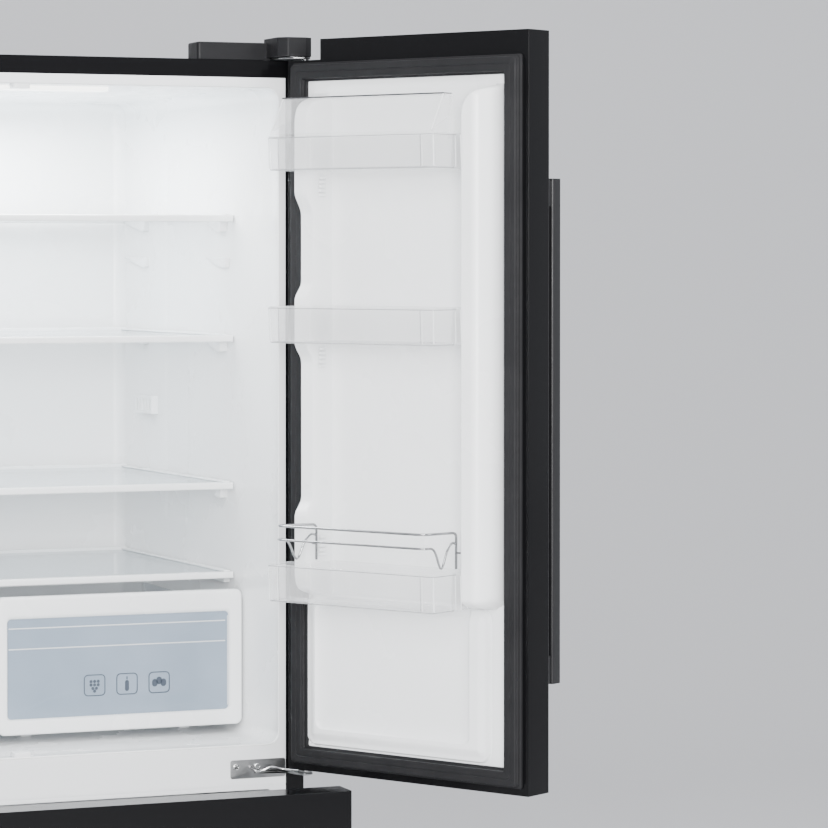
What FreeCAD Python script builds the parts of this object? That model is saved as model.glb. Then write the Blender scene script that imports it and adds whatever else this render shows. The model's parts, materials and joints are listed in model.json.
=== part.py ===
"""Four-door refrigerator: two upper doors, two freezer drawers below.  Millimetres, +Z up.

The origin lies on the floor, in the middle of the bounding box of the resting assembly.  Parts are built with
the cabinet's front plane at Y = 0 and every door closed, then moved to their resting places.
"""
import FreeCAD, Part
import os

V = FreeCAD.Vector

# ---- cabinet
HALF_WIDTH = 420.0
CABINET_DEPTH = 675.0
CABINET_Z0 = 60.0
CABINET_TOP = 1763.0
SHEET = 1.2
FRONT_RETURN = 27.0
CABINET_ROUND = 6.0
SILL = 16.0
RAIL_GROOVE = (730.0, 732.5)
FLANGE_T = 2.0
FLANGE_HALF = HALF_WIDTH - FRONT_RETURN
FLANGE_TOP = 1738.0
ORIGIN_SHIFT_Y = -125.53

# ---- fresh-food compartment
LINER_T = 2.0
MOUTH_HALF = 383.0
BACK_HALF = 342.0
BACK_Y = 626.0
FRESH_Z0 = 790.0
FRESH_Z1 = 1724.0
MOUTH_RADIUS = 18.0
REAR_ROUND = 16.0
CHANNEL_Y = (350.0, 430.0)
CHANNEL_Z = (1082.0, 1655.0)
CHANNEL_DEPTH = 0.9
FRONT_RIB_Y = (190.0, 262.0)
REAR_RIB_Y = (505.0, 597.0)
RIB_STAND = 9.0
RIB_H = 16.0
RIB_FOOT = 14.0
SPARE_RIB_Z = (1467.0, 1483.0)
GUIDE = (-5.0, 20.0, 26.0, 7.0)
RUNNER_Y = (205.0, 470.0)
SIDE_TRIM_W = 9.0
SIDE_TRIM_H = 1.5

# ---- freezer compartment
FREEZER_HALF = 372.0
FREEZER_Z0 = 110.0
FREEZER_Z1 = 726.0
FREEZER_BACK = 600.0
STEP_Y = 400.0
STEP_Z = 345.0
CROSS_RAIL = (380.0, 432.0)

# ---- machine room
ROOM_Y = 415.0
ROOM_Z = 330.0
ROOM_WINDOW = (400.0, 78.0, 318.0)
REAR_COVER = (408.0, 70.0, 326.0)
COVER_T = 2.0
INLET = (-140.0, -100.0, 120.0, 150.0)

# ---- upper doors, built closed on the right-hand side
DOOR_Z0 = 760.0
DOOR_Z1 = 1789.0
DOOR_FREE_X = 1.5
DOOR_IN = -15.0
DOOR_OUT = -65.0
HINGE_X = 408.7
HINGE_Y = -39.3
DOOR_OPEN = 120.4
NOTCH_Z = 1760.0
NOTCH_R = 53.0
PIN_R = 5.0
BORE_R = 5.06
LINER_EDGE = (14.0, 405.5, 773.0, 1753.0)
GASKET_EDGE = (11.0, 408.5, 770.0, 1756.0)
GASKET_FACE = -1.8
GASKET_W = 26.0
DYKE_HIGH = 33.0
DYKE_LOW = 18.0
BIN_DEPTH = 85.0
BIN_FREE_X = 85.5
BIN_HINGE_X = 375.5
BIN_HOOK = 10.0
HINGE_DYKE = (342.0, 374.5)
FREE_DYKE = (44.0, 85.0)
RECESS = (64.0, 386.0, 798.0, 1003.0)
FLAP_Y = DYKE_HIGH + 4.0
FLAP_Z = 1702.0

# ---- folding mullion: pivot in the closed door's frame
MULLION_X = 20.5
MULLION_Y = 8.0
MULLION_R = 8.5
MULLION_Z = (808.0, 1712.0)

# ---- door bins: bottom and top of the front wall
TOP_BIN = (1602.5, 1650.5)
MIDDLE_BIN = (1365.0, 1416.0)
LOW_BIN = (1007.5, 1060.0)
BIN_T = 2.5

# ---- bottle rail over the lowest bin: wire size, wire heights, plan of its legs and front corners
WIRE_R = 1.8
RAIL_WIRES = (1113.0, 1094.0)
RAIL_LEG_Z = 1064.0
RAIL_LEGS = ((335.0, 26.0), (92.0, 26.0))
RAIL_CORNERS = ((361.0, 77.0), (102.0, 77.0))

# ---- shelves: heights of the top face
SHELF_TOPS = (1545.0, 1369.0, 1153.0, 1022.0)
SHELF_FRONT = 163.0
SHELF_BACK = 608.0
GLASS_T = 4.0
TRIM_H = 10.0

# ---- crispers
CRISPER_FRONT = 127.0
CRISPER_Z = (802.7, 999.5)
CRISPER_OUTER = 371.5

# ---- freezer drawers: front panel heights and basket depths
DRAWER_FRONTS = ((410.0, 748.7), (66.0, 402.0))
DRAWER_BASKETS = ((440.0, 690.0, 520.0), (125.0, 345.0, 386.0))
UPPER_DRAWER_OUT = 132.6
DRAWER_GASKET_W = 18.0
RAIL_Z = ((560.0, 600.0), (230.0, 270.0))

# ---- hinges, their screws and covers
PLATE_T = 1.5
ARM_T = 3.0
SCREW_R = 2.0
SCREW_L = 16.0
HEAD_R = 4.6
HEAD_H = 2.4
MID_SCREW_X = (317.5, 349.5)
MID_SCREW_Z = 760.0
TOP_SCREW_X = (315.0, 385.0)
COVER_TOP = 1787.5
NOSE_TOP = 1793.0
COVER_BACK = 47.0
TOP_SCREW_Y = 28.0

parts = {}


def box(x0, x1, y0, y1, z0, z1):
    """Block between two corners."""
    return Part.makeBox(x1 - x0, y1 - y0, z1 - z0, V(x0, y0, z0))


def tube(r, h, x, y, z, axis=(0, 0, 1)):
    """Solid round bar from a point along an axis."""
    return Part.makeCylinder(r, h, V(x, y, z), V(*axis))


def prism(points, direction):
    """Closed outline pushed along a direction."""
    vectors = [V(*p) for p in points]
    return Part.Face(Part.makePolygon(vectors + vectors[:1])).extrude(V(*direction))


def plan(outline, z0, z1):
    """Outline in X and Y raised from z0 to z1."""
    return prism([(x, y, z0) for x, y in outline], (0, 0, z1 - z0))


def union(shapes):
    """Every shape joined into one, without seams."""
    shapes = list(shapes)
    return shapes[0].multiFuse(shapes[1:]).removeSplitter() if len(shapes) > 1 else shapes[0]


def mirrored(shape):
    """The same piece for the left-hand side."""
    return shape.mirror(V(0, 0, 0), V(1, 0, 0))


def vertical_round(shape, radius, keep):
    """Round the vertical edges whose place passes the test."""
    edges = []
    for edge in shape.Edges:
        a, b = edge.Vertexes[0].Point, edge.Vertexes[-1].Point
        if abs(a.x - b.x) + abs(a.y - b.y) < 0.01 < abs(a.z - b.z) and keep(a.x, a.y):
            edges.append(edge)
    return shape.makeFillet(radius, edges)


def along(shape, axis, radius, keep):
    """Round the straight edges that run along an axis and pass the test."""
    edges = []
    for edge in shape.Edges:
        a, b = edge.Vertexes[0].Point, edge.Vertexes[-1].Point
        gaps = [abs(a.x - b.x), abs(a.y - b.y), abs(a.z - b.z)]
        run = gaps.pop(axis)
        if sum(gaps) < 0.01 < run and keep((a + b) * 0.5):
            edges.append(edge)
    return shape.makeFillet(radius, edges)


def rounded_frame_hole(x0, x1, y0, y1, z0, z1, radius):
    """Block along Y with its four long edges rounded."""
    return along(box(x0, x1, y0, y1, z0, z1), 1, radius, lambda p: True)


def rod(points, radius):
    """Round wire through points, with ball corners."""
    pieces = []
    for a, b in zip(points, points[1:]):
        a, b = V(*a), V(*b)
        pieces.append(Part.makeCylinder(radius, (b - a).Length, a, b - a))
    pieces += [Part.makeSphere(radius, V(*p)) for p in points[1:-1]]
    return union(pieces)


def put(name, shapes, place=None):
    """Keep a node, moved to its resting place."""
    shape = Part.makeCompound(shapes) if isinstance(shapes, list) else shapes
    if place:
        shape = place(shape)
    parts[name] = shape.translated(V(0, ORIGIN_SHIFT_Y, 0))


# ------------------------------------------------------------------ compartments
def fresh_cavity(grow):
    """Fresh-food space, wider at the mouth, with rounded rear corners."""
    outline = [
        (-MOUTH_HALF - grow, FLANGE_T),
        (MOUTH_HALF + grow, FLANGE_T),
        (BACK_HALF + grow, BACK_Y + grow),
        (-BACK_HALF - grow, BACK_Y + grow),
    ]
    solid = plan(outline, FRESH_Z0 - grow, FRESH_Z1 + grow)
    return vertical_round(solid, REAR_ROUND + grow, lambda x, y: y > BACK_Y - 1)


def freezer_cavity(grow):
    """Freezer space with the step over the machine room."""
    outline = [
        (-FREEZER_HALF - grow, FLANGE_T, FREEZER_Z0 - grow),
        (-FREEZER_HALF - grow, FLANGE_T, FREEZER_Z1 + grow),
        (-FREEZER_HALF - grow, FREEZER_BACK + grow, FREEZER_Z1 + grow),
        (-FREEZER_HALF - grow, FREEZER_BACK + grow, STEP_Z - grow),
        (-FREEZER_HALF - grow, STEP_Y + grow, STEP_Z - grow),
        (-FREEZER_HALF - grow, STEP_Y + grow, FREEZER_Z0 - grow),
    ]
    return prism(outline, (2 * (FREEZER_HALF + grow), 0, 0))


def wall_x(y):
    """Half width of the fresh-food space at a depth."""
    return MOUTH_HALF + (BACK_HALF - MOUTH_HALF) * (y - FLANGE_T) / (BACK_Y - FLANGE_T)


def side_rib(x_in, y0, y1, z0, z1, foot=RIB_FOOT):
    """Moulded support on the right-hand wall: a wedge with a flat top, deepest near its front end."""
    x_out = wall_x(y0) + LINER_T / 2
    outline = [(y0, z1), (y1, z1), (y0 + 4 + foot, z0), (y0 + 4, z0)]
    bar = prism([(x_out, y, z) for y, z in outline], (x_in - x_out, 0, 0))
    return bar.common(fresh_cavity(LINER_T / 2))


# ------------------------------------------------------------------ cabinet
upper_hole = rounded_frame_hole(-MOUTH_HALF, MOUTH_HALF, -1, FLANGE_T, FRESH_Z0 - 1.6, FRESH_Z1 + 0.7,
                                MOUTH_RADIUS)
freezer_holes = [
    rounded_frame_hole(-FREEZER_HALF, FREEZER_HALF, -1, FLANGE_T, CROSS_RAIL[1], FREEZER_Z1, 8.0),
    rounded_frame_hole(-FREEZER_HALF, FREEZER_HALF, -1, FLANGE_T, FREEZER_Z0, CROSS_RAIL[0], 8.0),
]
inner = box(-HALF_WIDTH + SHEET, HALF_WIDTH - SHEET, SHEET, CABINET_DEPTH - SHEET, CABINET_Z0 + SHEET,
            CABINET_TOP - SHEET)
inner = along(inner, 1, CABINET_ROUND - SHEET, lambda p: p.z > CABINET_TOP - SHEET - 1)
outer = box(-HALF_WIDTH, HALF_WIDTH, 0, CABINET_DEPTH, CABINET_Z0, CABINET_TOP)
outer = along(outer, 1, CABINET_ROUND, lambda p: p.z > CABINET_TOP - 1)
front_window = box(-FLANGE_HALF, FLANGE_HALF, -1, SHEET, CABINET_Z0 + SILL, FLANGE_TOP)
room_half, room_low, room_high = ROOM_WINDOW
room_window = box(-room_half, room_half, CABINET_DEPTH - SHEET - 1, CABINET_DEPTH + 1, room_low, room_high)
room_wall = box(-HALF_WIDTH + SHEET, HALF_WIDTH - SHEET, ROOM_Y, ROOM_Y + SHEET, CABINET_Z0 + SHEET, ROOM_Z)
room_roof = box(-HALF_WIDTH + SHEET, HALF_WIDTH - SHEET, ROOM_Y, CABINET_DEPTH - SHEET, ROOM_Z,
                ROOM_Z + SHEET)


def case_panels(case):
    """The folded case as its panels: sides, top, base, and the strips round the front and rear windows."""
    edge = HALF_WIDTH - CABINET_ROUND
    base = CABINET_Z0 + CABINET_ROUND
    roof = CABINET_TOP - CABINET_ROUND
    zones = [
        (-HALF_WIDTH, -edge, 0, CABINET_DEPTH, CABINET_Z0, CABINET_TOP),
        (edge, HALF_WIDTH, 0, CABINET_DEPTH, CABINET_Z0, CABINET_TOP),
        (-edge, edge, 0, CABINET_DEPTH, roof, CABINET_TOP),
        (-edge, edge, 0, CABINET_DEPTH, CABINET_Z0, base),
    ]
    front = (FLANGE_HALF, CABINET_Z0 + SILL, FLANGE_TOP, 0, SHEET)
    rear = (room_half, room_low, room_high, CABINET_DEPTH - SHEET, CABINET_DEPTH)
    for half, low, high, y0, y1 in (front, rear):
        zones += [(-edge, -half, y0, y1, base, roof), (half, edge, y0, y1, base, roof),
                  (-half, half, y0, y1, base, low), (-half, half, y0, y1, high, roof)]
    return [case.common(box(*zone)) for zone in zones]



flange = box(-FLANGE_HALF, FLANGE_HALF, 0, FLANGE_T, CABINET_Z0 + SILL,
             FLANGE_TOP).cut([upper_hole] + freezer_holes)
rail_groove = box(-FLANGE_HALF, FLANGE_HALF, -0.1, 0.8, *RAIL_GROOVE)
guide_x0, guide_x1, guide_y, guide_h = GUIDE
mullion_guides = [
    along(box(guide_x0, guide_x1, FLANGE_T, guide_y, z0, z0 + guide_h), 2, 4.0, lambda p: p.y > guide_y - 1)
    for z0 in (FRESH_Z0, FRESH_Z1 - guide_h)
]

mid_screws = [(sx * x, MID_SCREW_Z) for sx in (-1, 1) for x in MID_SCREW_X]
top_screws = [(sx * x, TOP_SCREW_Y) for sx in (-1, 1) for x in TOP_SCREW_X]


def screw(head, axis):
    """Pan-head screw: head, shank and a slot across the head."""
    x, y, z = head
    a = V(*axis)
    cap = Part.makeCylinder(HEAD_R, HEAD_H, V(x, y, z), a * -1)
    rim = [e for e in cap.Edges if e.Length > 1 and abs((e.CenterOfMass - V(x, y, z)).dot(a)) > 2]
    cap = cap.makeFillet(1.4, rim)
    shank = Part.makeCylinder(SCREW_R, SCREW_L, V(x, y, z), a)
    if abs(a.y) > 0.5:
        slots = [box(x - w, x + w, y - 3, y - 1.5, z - h, z + h) for w, h in ((3, 0.5), (0.5, 3))]
    else:
        slots = [box(x - w, x + w, y - h, y + h, z + 1.5, z + 3) for w, h in ((3, 0.5), (0.5, 3))]
    return cap.fuse(shank).cut(slots)


screws = [screw((x, -PLATE_T, z), (0, 1, 0)) for x, z in mid_screws]
screws += [screw((x, y, CABINET_TOP + ARM_T), (0, 0, -1)) for x, y in top_screws]
shanks = [tube(SCREW_R, SCREW_L, x, -PLATE_T, z, (0, 1, 0)) for x, z in mid_screws]
shanks += [tube(SCREW_R, SCREW_L, x, y, CABINET_TOP + ARM_T, (0, 0, -1)) for x, y in top_screws]
put("hinge_screws", screws)
case = outer.cut([inner, front_window, room_window] + shanks)
put("cabinet_shell", case_panels(case) + [room_wall, room_roof])
put("front_flange", flange.cut([rail_groove] + shanks))

fresh_ribs = []
for top in SHELF_TOPS[:3]:
    under = top - GLASS_T - 2.0
    for y0, y1 in (FRONT_RIB_Y, REAR_RIB_Y):
        fresh_ribs.append(side_rib(wall_x(y0 + 20) - RIB_STAND, y0, y1, under - RIB_H, under))
for y0, y1 in (FRONT_RIB_Y, REAR_RIB_Y):
    fresh_ribs.append(side_rib(wall_x(y0 + 20) - RIB_STAND + 2, y0, y1, *SPARE_RIB_Z))
cover_under = SHELF_TOPS[3] - GLASS_T - 2.0
fresh_ribs.append(side_rib(wall_x(FRONT_RIB_Y[0]) - RIB_STAND, FRONT_RIB_Y[0], REAR_RIB_Y[1],
                           cover_under - RIB_H, cover_under, REAR_RIB_Y[1] - FRONT_RIB_Y[0] - 12))
channel_edge = [(wall_x(y), y) for y in CHANNEL_Y]
channel = plan([(x - 2, y) for x, y in channel_edge]
               + [(x + CHANNEL_DEPTH, y) for x, y in channel_edge[::-1]], *CHANNEL_Z)
fresh_liner = fresh_cavity(LINER_T).cut(fresh_cavity(0)).fuse(fresh_ribs + [mirrored(r) for r in fresh_ribs])
fresh_liner = fresh_liner.cut([channel, mirrored(channel)])
centre_wall = box(-4, 4, SHELF_FRONT + 13, 590, FRESH_Z0, SHELF_TOPS[3] - GLASS_T - 1.5)
runner = box(60, 76, *RUNNER_Y, FRESH_Z0, CRISPER_Z[0] - 0.8)
runners = [runner, runner.translated(V(240, 0, 0))]
runners += [mirrored(r) for r in runners]
put("fresh_liner", fresh_liner.fuse(mullion_guides + [centre_wall] + runners))
put("freezer_liner", freezer_cavity(LINER_T).cut(freezer_cavity(0)))

machine_space = box(-HALF_WIDTH + SHEET, HALF_WIDTH - SHEET, ROOM_Y, CABINET_DEPTH - SHEET,
                    CABINET_Z0 + SHEET,
                    ROOM_Z + SHEET)
front_skip = box(-FLANGE_HALF, FLANGE_HALF, 0, FLANGE_T, CABINET_Z0, FLANGE_TOP)
foam = inner.cut([fresh_cavity(LINER_T), freezer_cavity(LINER_T), machine_space, front_skip] + shanks)
put("cabinet_foam", foam)

# ------------------------------------------------------------------ hinges
plate = box(309.5, 392.0, -PLATE_T, 0, 743.0, 769.5)
mid_arm = plan([(340, -PLATE_T), (392, -PLATE_T), (415, -24), (418, -34), (418, -46), (412, -50), (402, -50),
                (396, -44)],
               750.0, 750.0 + ARM_T)
mid_pin = tube(PIN_R, 19.0, HINGE_X, HINGE_Y, 750.0 + ARM_T)
cam = tube(9.0, 4.0, HINGE_X, HINGE_Y, 750.0 + ARM_T).cut(box(398, 420, -41.3, -37.3, 755.5, 760))
mid_hinge = union([plate, mid_arm, cam, mid_pin]).cut(shanks)
top_plate = plan([(300, 12), (400, 12), (400, COVER_BACK - 4), (300, COVER_BACK - 4)], CABINET_TOP,
                 CABINET_TOP + ARM_T)
top_arm = plan([(372, 12), (372, -30), (388, -48), (404, -52), (414, -48), (416, -36), (414, 12)],
               CABINET_TOP, CABINET_TOP + ARM_T)
top_pin = tube(PIN_R, 18.0, HINGE_X, HINGE_Y, CABINET_TOP - 18.0)
top_hinge = union([top_plate, top_arm, top_pin]).cut(shanks)
put("hinges", [mid_hinge, mirrored(mid_hinge), top_hinge, mirrored(top_hinge)])

cover_body = along(box(262, 406, 0.5, COVER_BACK, CABINET_TOP, COVER_TOP), 2, 5.0, lambda p: True)
cover_body = along(cover_body, 0, 3.0, lambda p: p.z > COVER_TOP - 1)
nose = plan([(365, 12), (365, -44), (377, -56), (404, -57), (414, -50), (417, -38), (416, 12)],
            CABINET_TOP + ARM_T, NOSE_TOP)
nose = along(nose, 2, 4.0, lambda p: p.y < -20)
hollow = union([
    box(265, 403, 3, COVER_BACK - 3, CABINET_TOP, COVER_TOP - 2.5),
    plan([(371, 14), (371, -42), (381, -51), (402, -52), (410, -46), (412, -37), (411, 14)], CABINET_TOP,
         NOSE_TOP - 2.5),
])
cover = cover_body.fuse(nose).cut([hollow, box(370, 418, -0.1, 12, CABINET_TOP, CABINET_TOP + ARM_T)])
put("hinge_covers", [cover, mirrored(cover)])

# ------------------------------------------------------------------ shelves and crisper cover
glass_sheets = []
trims = []
for top in SHELF_TOPS:
    x0, x1 = wall_x(SHELF_FRONT) - 2.5, wall_x(SHELF_BACK) - 2.5
    y0, y1 = SHELF_FRONT + 4, SHELF_BACK - 3
    sheet = plan([(-x0, y0), (x0, y0), (x1, y1), (-x1, y1)], top - GLASS_T - 1.5, top - 1.5)
    front = plan([(-x0, SHELF_FRONT), (x0, SHELF_FRONT), (x0 - 0.8, SHELF_FRONT + 12),
                  (-x0 + 0.8, SHELF_FRONT + 12)],
                 top - TRIM_H, top)
    front = along(front, 0, 1.6, lambda p: p.y < SHELF_FRONT + 1)
    rear = box(-x1, x1, SHELF_BACK - 9, SHELF_BACK, top - TRIM_H + 1, top + 3)
    edge = [(wall_x(y) - 2.5, y) for y in (SHELF_FRONT + 12, SHELF_BACK - 9)]
    strip = plan(edge + [(x - SIDE_TRIM_W, y) for x, y in edge[::-1]], top - 1.5, top + SIDE_TRIM_H)
    glass_sheets.append(sheet)
    trims += [front.cut(sheet), rear.cut(sheet), strip, mirrored(strip)]
put("shelf_glass", glass_sheets)
put("shelf_trims", trims)


def crisper_tray():
    """Clear tray behind the front frame, open at the top."""
    z0, z1 = CRISPER_Z[0] + 1.5, CRISPER_Z[1] - 22
    outside = vertical_round(box(12, 340, CRISPER_FRONT + 14, 500, z0, z1), 12.0, lambda x, y: y > 400)
    inside = vertical_round(box(14.5, 337.5, CRISPER_FRONT + 16.5, 497.5, z0 + 2.5, z1 + 1), 9.5, lambda x,
                            y: y > 400)
    lip = box(12, 340, CRISPER_FRONT + 14, 22 + CRISPER_FRONT, z1 - 6, z1).cut(inside)
    return outside.cut(inside).fuse(lip)


def crisper_front():
    """White frame with rounded corners around a clear pane."""
    z0, z1 = CRISPER_Z
    frame = along(box(6.5, CRISPER_OUTER, CRISPER_FRONT, CRISPER_FRONT + 14, z0, z1), 1, 9.0, lambda p: True)
    window = along(box(20, CRISPER_OUTER - 20, CRISPER_FRONT - 1, CRISPER_FRONT + 15, z0 + 22.5, z1 - 31.5),
                   1, 6.0, lambda p: True)
    return frame.cut(window)


def crisper_pane():
    """Clear window set in the crisper front."""
    z0, z1 = CRISPER_Z
    return box(20, CRISPER_OUTER - 20, CRISPER_FRONT + 5, CRISPER_FRONT + 8, z0 + 22.5, z1 - 31.5).common(
        along(box(20, CRISPER_OUTER - 20, CRISPER_FRONT - 1, CRISPER_FRONT + 15, z0 + 22.5, z1 - 31.5),
              1, 6.0, lambda p: True))


for side, flip in (("right", lambda s: s), ("left", mirrored)):
    put(f"crisper_{side}_tray", flip(crisper_tray()))
    put(f"crisper_{side}_front", flip(crisper_front()))
    put(f"crisper_{side}_pane", flip(crisper_pane()))

# ------------------------------------------------------------------ fittings inside the fresh-food space
sensor_y = (470.0, 545.0)
sensor = plan([(wall_x(sensor_y[0]), sensor_y[0]), (wall_x(sensor_y[0]) - 9, sensor_y[0] + 5),
               (wall_x(sensor_y[1]) - 11, sensor_y[1] - 5), (wall_x(sensor_y[1]), sensor_y[1])], 1240, 1268)
vent_slots = [box(330, 360, y, y + 5, 1245, 1263) for y in (482, 494, 506, 518, 530)]
put("sensor_box", sensor.cut([s.common(sensor.translated(V(-5, 0, 0))) for s in vent_slots]))

light = along(box(-150, 150, 62, 96, FRESH_Z1 - 6, FRESH_Z1), 0, 3.0, lambda p: p.z < FRESH_Z1 - 5)
put("light_lens", light)

duct = along(box(-105, 105, SHELF_BACK + 1, BACK_Y, 1060, 1690), 2, 6.0, lambda p: p.y < BACK_Y - 5)
vents = [box(-70, 70, SHELF_BACK, SHELF_BACK + 7, z, z + 7) for z in (1120, 1250, 1265, 1450, 1465, 1620,
                                                                      1635)]
lower_duct = box(-330, 330, 548, 554, 356, 715)
lower_vents = [box(-250 + i * 130, -150 + i * 130, 547, 555, 640, 652) for i in range(4)]
put("air_ducts", [duct.cut(vents), lower_duct.cut(lower_vents)])

# ------------------------------------------------------------------ cooling system
coil_points = []
for i in range(9):
    z = 380 + i * 34
    ends = (-290, 290) if i % 2 == 0 else (290, -290)
    coil_points += [(ends[0], 577, z), (ends[1], 577, z)]
fins = [box(x, x + 1.0, 562, 592, 366, 666) for x in range(-270, 271, 30)]
evaporator = rod(coil_points, 4.0)
put("evaporator", union([evaporator] + fins))

pump = union([
    tube(88, 120, -230, 560, 100),
    Part.makeSphere(88, V(-230, 560, 220)).common(box(-330, -130, 460, 660, 220, 262)),
    box(-330, -130, 545, 575, 88, 102),
    *[tube(11, 88 - CABINET_Z0 - SHEET, x, 560, CABINET_Z0 + SHEET) for x in (-315, -145)],
])
stub = rod([(-150, 560, 180), (-110, 560, 180), (-110, 560, 300)], 5.0)
put("compressor", pump.fuse(stub))
condenser_points = []
for i in range(10):
    x = 10 + i * 34
    zs = (90, 290) if i % 2 == 0 else (290, 90)
    condenser_points += [(x, 600, zs[0]), (x, 600, zs[1])]
bars = [box(0, 326, 603, 606, z, z + 8) for z in (110, 190, 262)]
put("condenser", union([rod(condenser_points, 4.0)] + bars))

cover_half, cover_low, cover_high = REAR_COVER
louvres = [box(x, x + 90, CABINET_DEPTH - 1, CABINET_DEPTH + 3, z, z + 6)
           for x in (-380, -270, 60, 170, 280) for z in range(100, 300, 18)]
inlet_x0, inlet_x1, inlet_z0, inlet_z1 = INLET
cover_panels = [(-cover_half, inlet_x0, cover_low, cover_high), (inlet_x1, cover_half, cover_low, cover_high),
                (inlet_x0, inlet_x1, cover_low, inlet_z0), (inlet_x0, inlet_x1, inlet_z1, cover_high)]
put("rear_cover", [box(x0, x1, CABINET_DEPTH, CABINET_DEPTH + COVER_T, z0, z1).cut(louvres)
                   for x0, x1, z0, z1 in cover_panels])
inlet = box(inlet_x0, inlet_x1, CABINET_DEPTH - 22, CABINET_DEPTH + 4, inlet_z0, inlet_z1)
inlet = inlet.cut(box(inlet_x0 + 4, inlet_x1 - 4, CABINET_DEPTH - 18, CABINET_DEPTH + 5, inlet_z0 + 4,
                      inlet_z1 - 4))
prongs = [box(x, x + 2, CABINET_DEPTH - 18.5, CABINET_DEPTH - 9, z, z + 6)
          for x, z in ((-130, 132), (-121, 138), (-112, 132))]
put("power_inlet", inlet.fuse(prongs))

feet = []
for x in (-350, 350):
    for y in (60, 620):
        pad = tube(24, 12, x, y, 0)
        feet.append(union([pad, tube(7, CABINET_Z0 - 12, x, y, 12), tube(13, 9, x, y, 40)]))
put("levelling_feet", feet)
grille = box(-400, 400, 24, 28, 14, CABINET_Z0)
slots = [box(-380 + i * 40, -348 + i * 40, 23, 29, z, z + 6) for i in range(20) for z in (24, 38)]
put("kick_grille", grille.cut(slots))

# ------------------------------------------------------------------ upper doors
def turned(shape):
    """A right-hand door part at its resting angle."""
    return shape.rotated(V(HINGE_X, HINGE_Y, 0), V(0, 0, 1), DOOR_OPEN)


def door_notch(grow):
    """Room for the top hinge and its cover in the upper hinge corner."""
    return tube(NOTCH_R + grow, DOOR_Z1 - NOTCH_Z + grow + 5, HINGE_X, HINGE_Y, NOTCH_Z - grow)


def door_bores(z_from_bottom, radius):
    """Holes for the two hinge pins."""
    low = tube(radius, z_from_bottom, HINGE_X, HINGE_Y, DOOR_Z0 - 1)
    high = tube(radius, z_from_bottom, HINGE_X, HINGE_Y, NOTCH_Z + 1 - z_from_bottom)
    return [low, high]


def door_block(inset):
    """Outer form of the door case, rounded at its outer edges."""
    block = box(DOOR_FREE_X + inset, HALF_WIDTH - inset, DOOR_OUT + inset, DOOR_IN - inset, DOOR_Z0 + inset,
                DOOR_Z1 - inset)
    return vertical_round(block, 5.0 - inset, lambda x, y: y < DOOR_OUT + 10)


def dyke_profile(grow, foot, even):
    """Side outline of a dyke: full height beside each bin, and lower between them unless it is even."""
    high = DYKE_HIGH + grow
    low = DYKE_LOW + grow
    if even:
        return [(foot, 1010 - grow), (high - 17, 1014 - grow), (high - 2, 1026 - grow), (high, 1034),
                (high, 1676),
                (high - 12, 1698 + grow), (foot, 1708 + grow)]
    return [
        (foot, 1010 - grow), (low - 2, 1014 - grow), (high - 2, 1026 - grow), (high, 1034),
        (high, 1127), (low, 1144),
        (low, 1342), (high, 1360), (high, 1428), (low, 1445), (low, 1547), (high, 1570), (high, 1676),
        (high - 12, 1698 + grow), (foot, 1708 + grow),
    ]


def dykes(grow, foot):
    """The two raised side walls of the door liner, grown or shrunk."""
    solids = []
    for x0, x1 in (HINGE_DYKE, FREE_DYKE):
        outline = dyke_profile(grow, foot, x0 == FREE_DYKE[0])
        width = x1 - x0 + 2 * grow
        solids.append(prism([(x0 - grow, y, z) for y, z in outline], (width, 0, 0)))
    return solids


def liner_plate():
    """Flat part of the door liner."""
    x0, x1, z0, z1 = LINER_EDGE
    return box(x0, x1, DOOR_IN - LINER_T, DOOR_IN, z0, z1)


def door_case():
    """Painted skin: a pan folded over the rim on the inside."""
    case = door_block(0).cut(door_block(SHEET))
    x0, x1, z0, z1 = LINER_EDGE
    opening = box(x0, x1, DOOR_IN - SHEET - 1, DOOR_IN + 1, z0, z1)
    notch_wall = door_notch(SHEET).cut(door_notch(0)).common(door_block(0))
    case = case.cut([opening, door_notch(0)]).fuse(notch_wall)
    return case.cut(door_bores(18.0, BORE_R))


def door_liner():
    """White formed sheet: a shallow recess, two hollow dykes and small ribbed bin rests."""
    plate = liner_plate()
    x0, x1, z0, z1 = RECESS
    low = along(box(x0, x1, DOOR_IN - 1.0, DOOR_IN + 1, z0, z1), 1, 16.0, lambda p: True)
    recess = low.fuse(box(FREE_DYKE[1] + 5, HINGE_DYKE[0] - 5, DOOR_IN - 1.0, DOOR_IN + 1, z1 - 20, 1690))
    raised = dykes(0, DOOR_IN)
    rests = [along(box(x, x + 3.5, 0, 14, z, z + 28), 2, 1.5, lambda p: p.y > 10)
             for x in (HINGE_DYKE[0] - 3.5, FREE_DYKE[1]) for z in (TOP_BIN[0] - 34, MIDDLE_BIN[0] - 34,
                                                                    LOW_BIN[0] + 60)]
    sheet = plate.cut([recess, door_notch(SHEET)]).fuse(raised + rests)
    return sheet.cut(dykes(-LINER_T, DOOR_IN - LINER_T))


def door_foam():
    """Rigid foam between the skin and the liner, filling the dykes."""
    core = door_block(SHEET).cut([liner_plate(), door_notch(SHEET)] + door_bores(18.0, BORE_R))
    return core.fuse(dykes(-LINER_T, DOOR_IN - LINER_T))


def gasket_ring(x0, x1, z0, z1, width, y_back, y_front):
    """Soft magnetic seal: a wide foot and a narrower bellows lip."""
    foot = box(x0, x1, y_back, y_back + 4, z0, z1).cut(
        box(x0 + width, x1 - width, y_back - 1, y_back + 5, z0 + width, z1 - width))
    lip = along(box(x0 + 3, x1 - 3, y_back + 4, y_front, z0 + 3, z1 - 3), 1, 6.0, lambda p: True).cut(
        along(box(x0 + width - 3, x1 - width + 3, y_back, y_front + 1, z0 + width - 3, z1 - width + 3), 1,
              3.0,
              lambda p: True))
    return foot.fuse(lip)


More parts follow.
